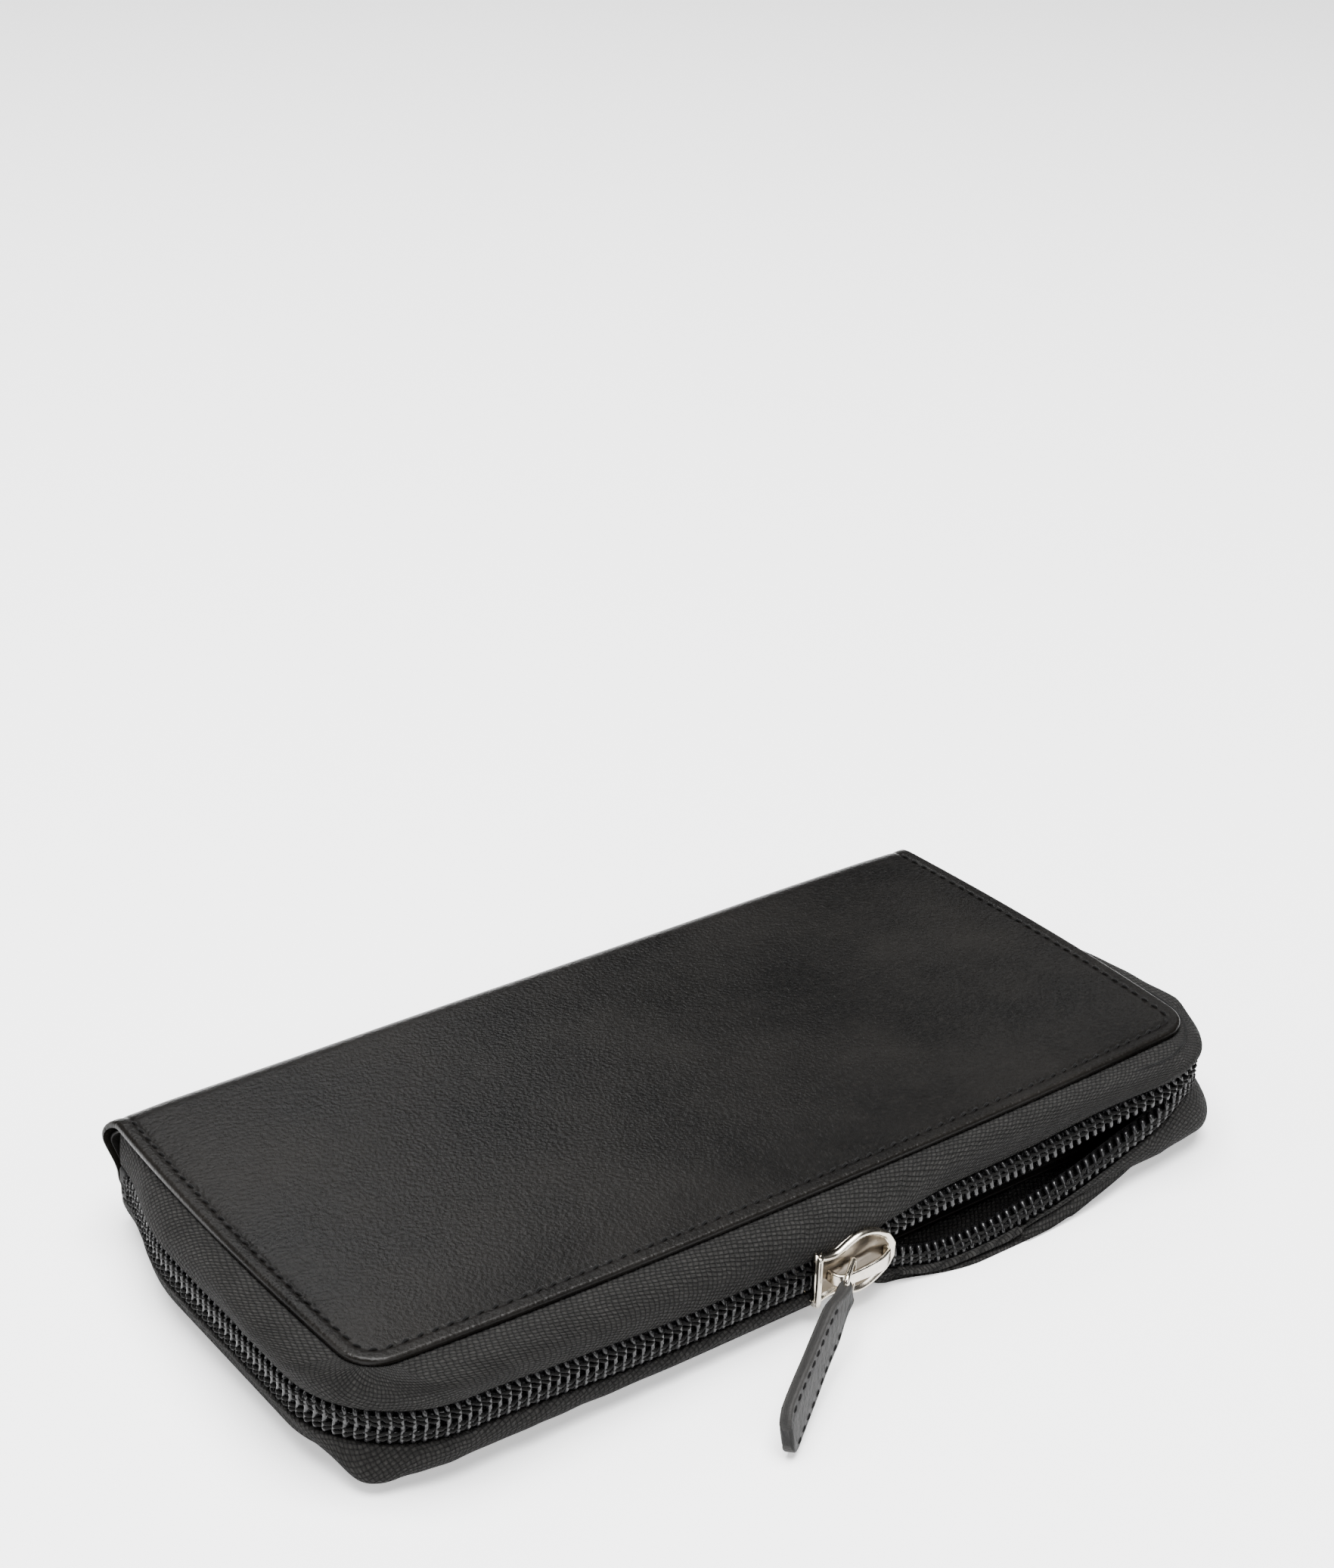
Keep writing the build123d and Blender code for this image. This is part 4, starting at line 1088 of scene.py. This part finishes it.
def bill_panel():
    """Bill pocket front: a leather frame round the clear window, sewn at its rims, with its cloth behind."""
    low, high = box_mm("bill_pocket_panel")
    window_low, window_high = box_mm("clear_window")
    hole_x = (window_low[0] + 3, window_high[0] - 3)
    hole_y = (window_low[1] + 3, window_high[1] - 3)
    fine = [0, 0.1, 0.3, 0.6, 1.0, 1.4, 1.9, 2.5]

    def lines(a, hole, b):
        """Grid lines from a to b, close together at the rims and at the hole's edges."""
        around = []
        for h, sign in ((hole[0], -1), (hole[1], 1)):
            around += [h + sign * k for k in fine if a < h + sign * k < b]
        values = sorted(set([round(v, 4) for v in [a + k for k in fine] + [b - k for k in fine] + around
                             + list(np.arange(hole[0] + 4, hole[1] - 3, 4.0)) + [hole[0], hole[1]]]))
        return np.array([v for v in values if a <= v <= b])

    ys, xs = lines(low[1], hole_y, high[1]), lines(low[0], hole_x, high[0])
    y, x = np.meshgrid(ys, xs, indexing="ij")
    outer = inside_box(x, y, low, high)
    gap_x = np.maximum(hole_x[0] - x, x - hole_x[1])
    gap_y = np.maximum(hole_y[0] - y, y - hole_y[1])
    inner = np.maximum(gap_x, gap_y)
    d = np.minimum(outer, np.maximum(inner, 0))
    roll = 0.3 * rounding(d / 0.5)
    groove = 0.1 * np.exp(-((d - 1.6) / 0.3) ** 2)
    face = low[2] + roll + groove + 0.05 * (1 + lumps(x, y, 26, 31)) * smooth(d / 2)
    centre_x = (xs[:-1] + xs[1:]) / 2
    centre_y = (ys[:-1] + ys[1:]) / 2
    in_x = (centre_x > hole_x[0]) & (centre_x < hole_x[1])
    in_y = (centre_y > hole_y[0]) & (centre_y < hole_y[1])
    inside = in_x[None] & in_y[:, None]
    top = np.stack([x, y, face], -1)
    under = np.stack([x, y, np.full_like(x, high[2])], -1)
    frame_leather = shell("bill_panel_leather", top, under, INNER, keep=~inside, flip=True)
    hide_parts("bill_pocket_panel")
    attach(frame_leather, "front_half")

    xs = np.linspace(window_low[0], window_high[0], 90)
    ys = np.linspace(window_low[1], window_high[1], 60)
    y, x = np.meshgrid(ys, xs, indexing="ij")
    swell = 0.10 * lumps(x, y, 38, 41) * smooth(inside_box(x, y, window_low, window_high) / 10)
    level = window_low[2] + 0.12 + swell
    sheet_top = np.stack([x, y, level], -1)
    sheet_under = np.stack([x, y, level + 0.13], -1)
    clear = shell("clear_window_sheet", sheet_top, sheet_under, CLEAR, flip=True)
    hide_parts("clear_window")
    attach(clear, "front_half")

    face = low[2] + 0.12
    seam = 1.6
    corners = box_corners(low, high, seam)
    hole = box_corners((hole_x[0], hole_y[0]), (hole_x[1], hole_y[1]), -seam)
    for tag, loop in (("rim", corners), ("window", hole)):
        for i in range(4):
            a, b = loop[i], loop[(i + 1) % 4]
            sewn_line(f"bill_stitches_{tag}_{i + 1}", (*a, face), (*b, face), -1, "front_half")


bill_panel()


def pocket_cloth(name, node, rests_on, **shape):
    """A cloth leaf the size of its node."""
    cloth = leaf(name, node, POCKET, wave=0.03, **shape)


pocket_cloth("bill_pocket_cloth", "bill_pocket_fabric", "front_lining_skin", up=-1, body="front_half",
             radius=0.8)
pocket_cloth("coin_bag_cloth", "coin_pocket_bag", "back_lining_skin", radius=1.0)
for tag in ("inner", "outer"):
    leaf(f"coin_tape_cloth_{tag}", f"coin_tape_{tag}", TAPE, radius=0.3, wave=0)
for tag in ("inner", "outer"):
    leaf(f"coin_strip_leather_{tag}", f"coin_strip_{tag}", INNER, radius=0.6, wave=0.02)
    low, high = box_mm(f"coin_strip_{tag}")
    near = low[1] + 1.5 if tag == "inner" else high[1] - 1.5
    level = low[2] + 0.48
    sewn_line(f"coin_strip_stitches_{tag}", (low[0] + 2, near, level), (high[0] - 2, near, level), 1,
              "back_half")


def coin_row(tag, sign, phase):
    """One row of the coin pocket's fine coil."""
    low, high = box_mm(f"coin_coil_{tag}")
    pitch, per_turn, wire = 1.25, 14, 0.25
    turns = int((high[0] - low[0] - 1) / pitch)
    theta = (np.arange(turns * per_turn) / per_turn + phase) * math.tau
    x = low[0] + 0.5 + pitch / math.tau * (theta - 0.55 * np.sin(theta - math.pi / 2))
    c, d = np.cos(theta), np.sin(theta)
    wide = np.sign(c) * np.abs(c) ** 0.7
    deep = np.sign(d) * np.abs(d) ** 0.7
    reach = (high[1] - low[1]) / 2 - wire * 0.4
    rise = (high[2] - low[2]) / 2 - wire
    middle_y, middle_z = (low[1] + high[1]) / 2, (low[2] + high[2]) / 2
    path = np.stack([x, middle_y + sign * 0.12 + reach * wide, middle_z + rise * deep], 1)
    core = np.linspace((low[0] + 0.4, middle_y, middle_z), (high[0] - 0.4, middle_y, middle_z), 30)
    tubes = [tube_data(path, wire, 6, (0.93, 0.2, 0.31)), tube_data(core, 0.34, 6)]
    obj = piece(f"coin_row_{tag}", *joined(tubes)[:2], NYLON)
    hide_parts(f"coin_coil_{tag}")
    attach(obj, "back_half")


coin_row("inner", -1, 0.0)
coin_row("outer", 1, 0.5)


STOP_LENGTH = 2.6


def row_stop(upper):
    """Bands of tape cloth wrapped round both ends of a row."""
    side = "front" if upper else "back"
    parts = []
    for s in (np.linspace(0, STOP_LENGTH, 9), np.linspace(LOOP - STOP_LENGTH, LOOP, 9)):
        head, outer, across = row_axes(s, upper)[:3]
        middle = (head + outer) / 2
        parts.append(band_data(middle, ROW / 2 + 0.05, COIL_DEPTH / 2 + 0.05, across[0], corner=0.7))
    stop = piece(f"{side}_row_stops", *joined(parts)[:2], TAPE)
    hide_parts(f"{side}_zip_stops")
    bend_row(stop)


for upper in (True, False):
    row_stop(upper)


# ---- materials for the CAD parts that are carried over ------------------------------------------
for node in ("main_slider_inner_plate", "pull_ring", "coin_slider_body", "coin_pull_tab", "coin_zip_stops"):
    for material_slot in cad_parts[node].material_slots:
        material_slot.material = NICKEL


# ---- camera, floor and lights --------------------------------------------------------------------
camera = bpy.data.objects.new("camera", bpy.data.cameras.new("camera"))
camera.data.lens = 65.58
camera.data.clip_start = 0.01
right = (0.80298, -0.59534, 0.02822)
down = (-0.24874, -0.37778, -0.89187)
ahead = (0.54161, 0.70914, -0.45144)
turn = Matrix((right, [-v for v in down], [-v for v in ahead])).transposed()
camera.matrix_world = Matrix.Translation((-0.291706, -0.383156, 0.331375)) @ turn.to_4x4()
bpy.context.scene.collection.objects.link(camera)
bpy.context.scene.camera = camera

floor_recipe = Recipe("studio_floor")
floor_shader = floor_recipe.shader
floor_shader.inputs["Base Color"].default_value = (0.92, 0.92, 0.925, 1)
floor_shader.inputs["Roughness"].default_value = 0.55
floor_shader.inputs["Emission Color"].default_value = (1, 1, 1, 1)
floor_shader.inputs["Emission Strength"].default_value = 0.5
floor_mesh = bpy.data.meshes.new("studio_floor")
floor_mesh.from_pydata([(-60, -60, 0), (60, -60, 0), (60, 60, 0), (-60, 60, 0)], [], [(0, 1, 2, 3)])
floor_mesh.materials.append(floor_recipe.material)
floor = bpy.data.objects.new("studio_floor", floor_mesh)
bpy.context.scene.collection.objects.link(floor)

world = bpy.data.worlds.new("studio")
world.use_nodes = True
world.node_tree.nodes["Background"].inputs["Color"].default_value = (1, 1, 1, 1)
world.node_tree.nodes["Background"].inputs["Strength"].default_value = 0.07
bpy.context.scene.world = world


def soft_light(name, place, aim, size, power):
    """A rectangular lamp, aimed at a point. Places and sizes are metres, power is watts."""
    lamp = bpy.data.lights.new(name, "AREA")
    lamp.shape = "RECTANGLE"
    lamp.size, lamp.size_y = size
    lamp.energy = power
    obj = bpy.data.objects.new(name, lamp)
    direction = Vector(aim) - Vector(place)
    obj.matrix_world = Matrix.Translation(place) @ direction.to_track_quat("-Z", "Y").to_matrix().to_4x4()
    bpy.context.scene.collection.objects.link(obj)


soft_light("overhead_softbox", (-0.1, -0.1, 1.5), (0, 0, 0), (1.3, 1.2), 112)
soft_light("left_softbox", (-1.1, 0.5, 0.7), (0, 0, 0), (0.5, 0.8), 9)
soft_light("front_softbox", (-0.1, -1.3, 0.9), (0, 0, 0), (1.2, 0.5), 14)
soft_light("back_softbox", (0.42, 1.0, 1.02), (-0.08, 0, 0), (0.4, 0.3), 4.5)
soft_light("right_softbox", (1.2, 0.85, 0.88), (0.05, 0, 0), (0.35, 0.35), 1.3)
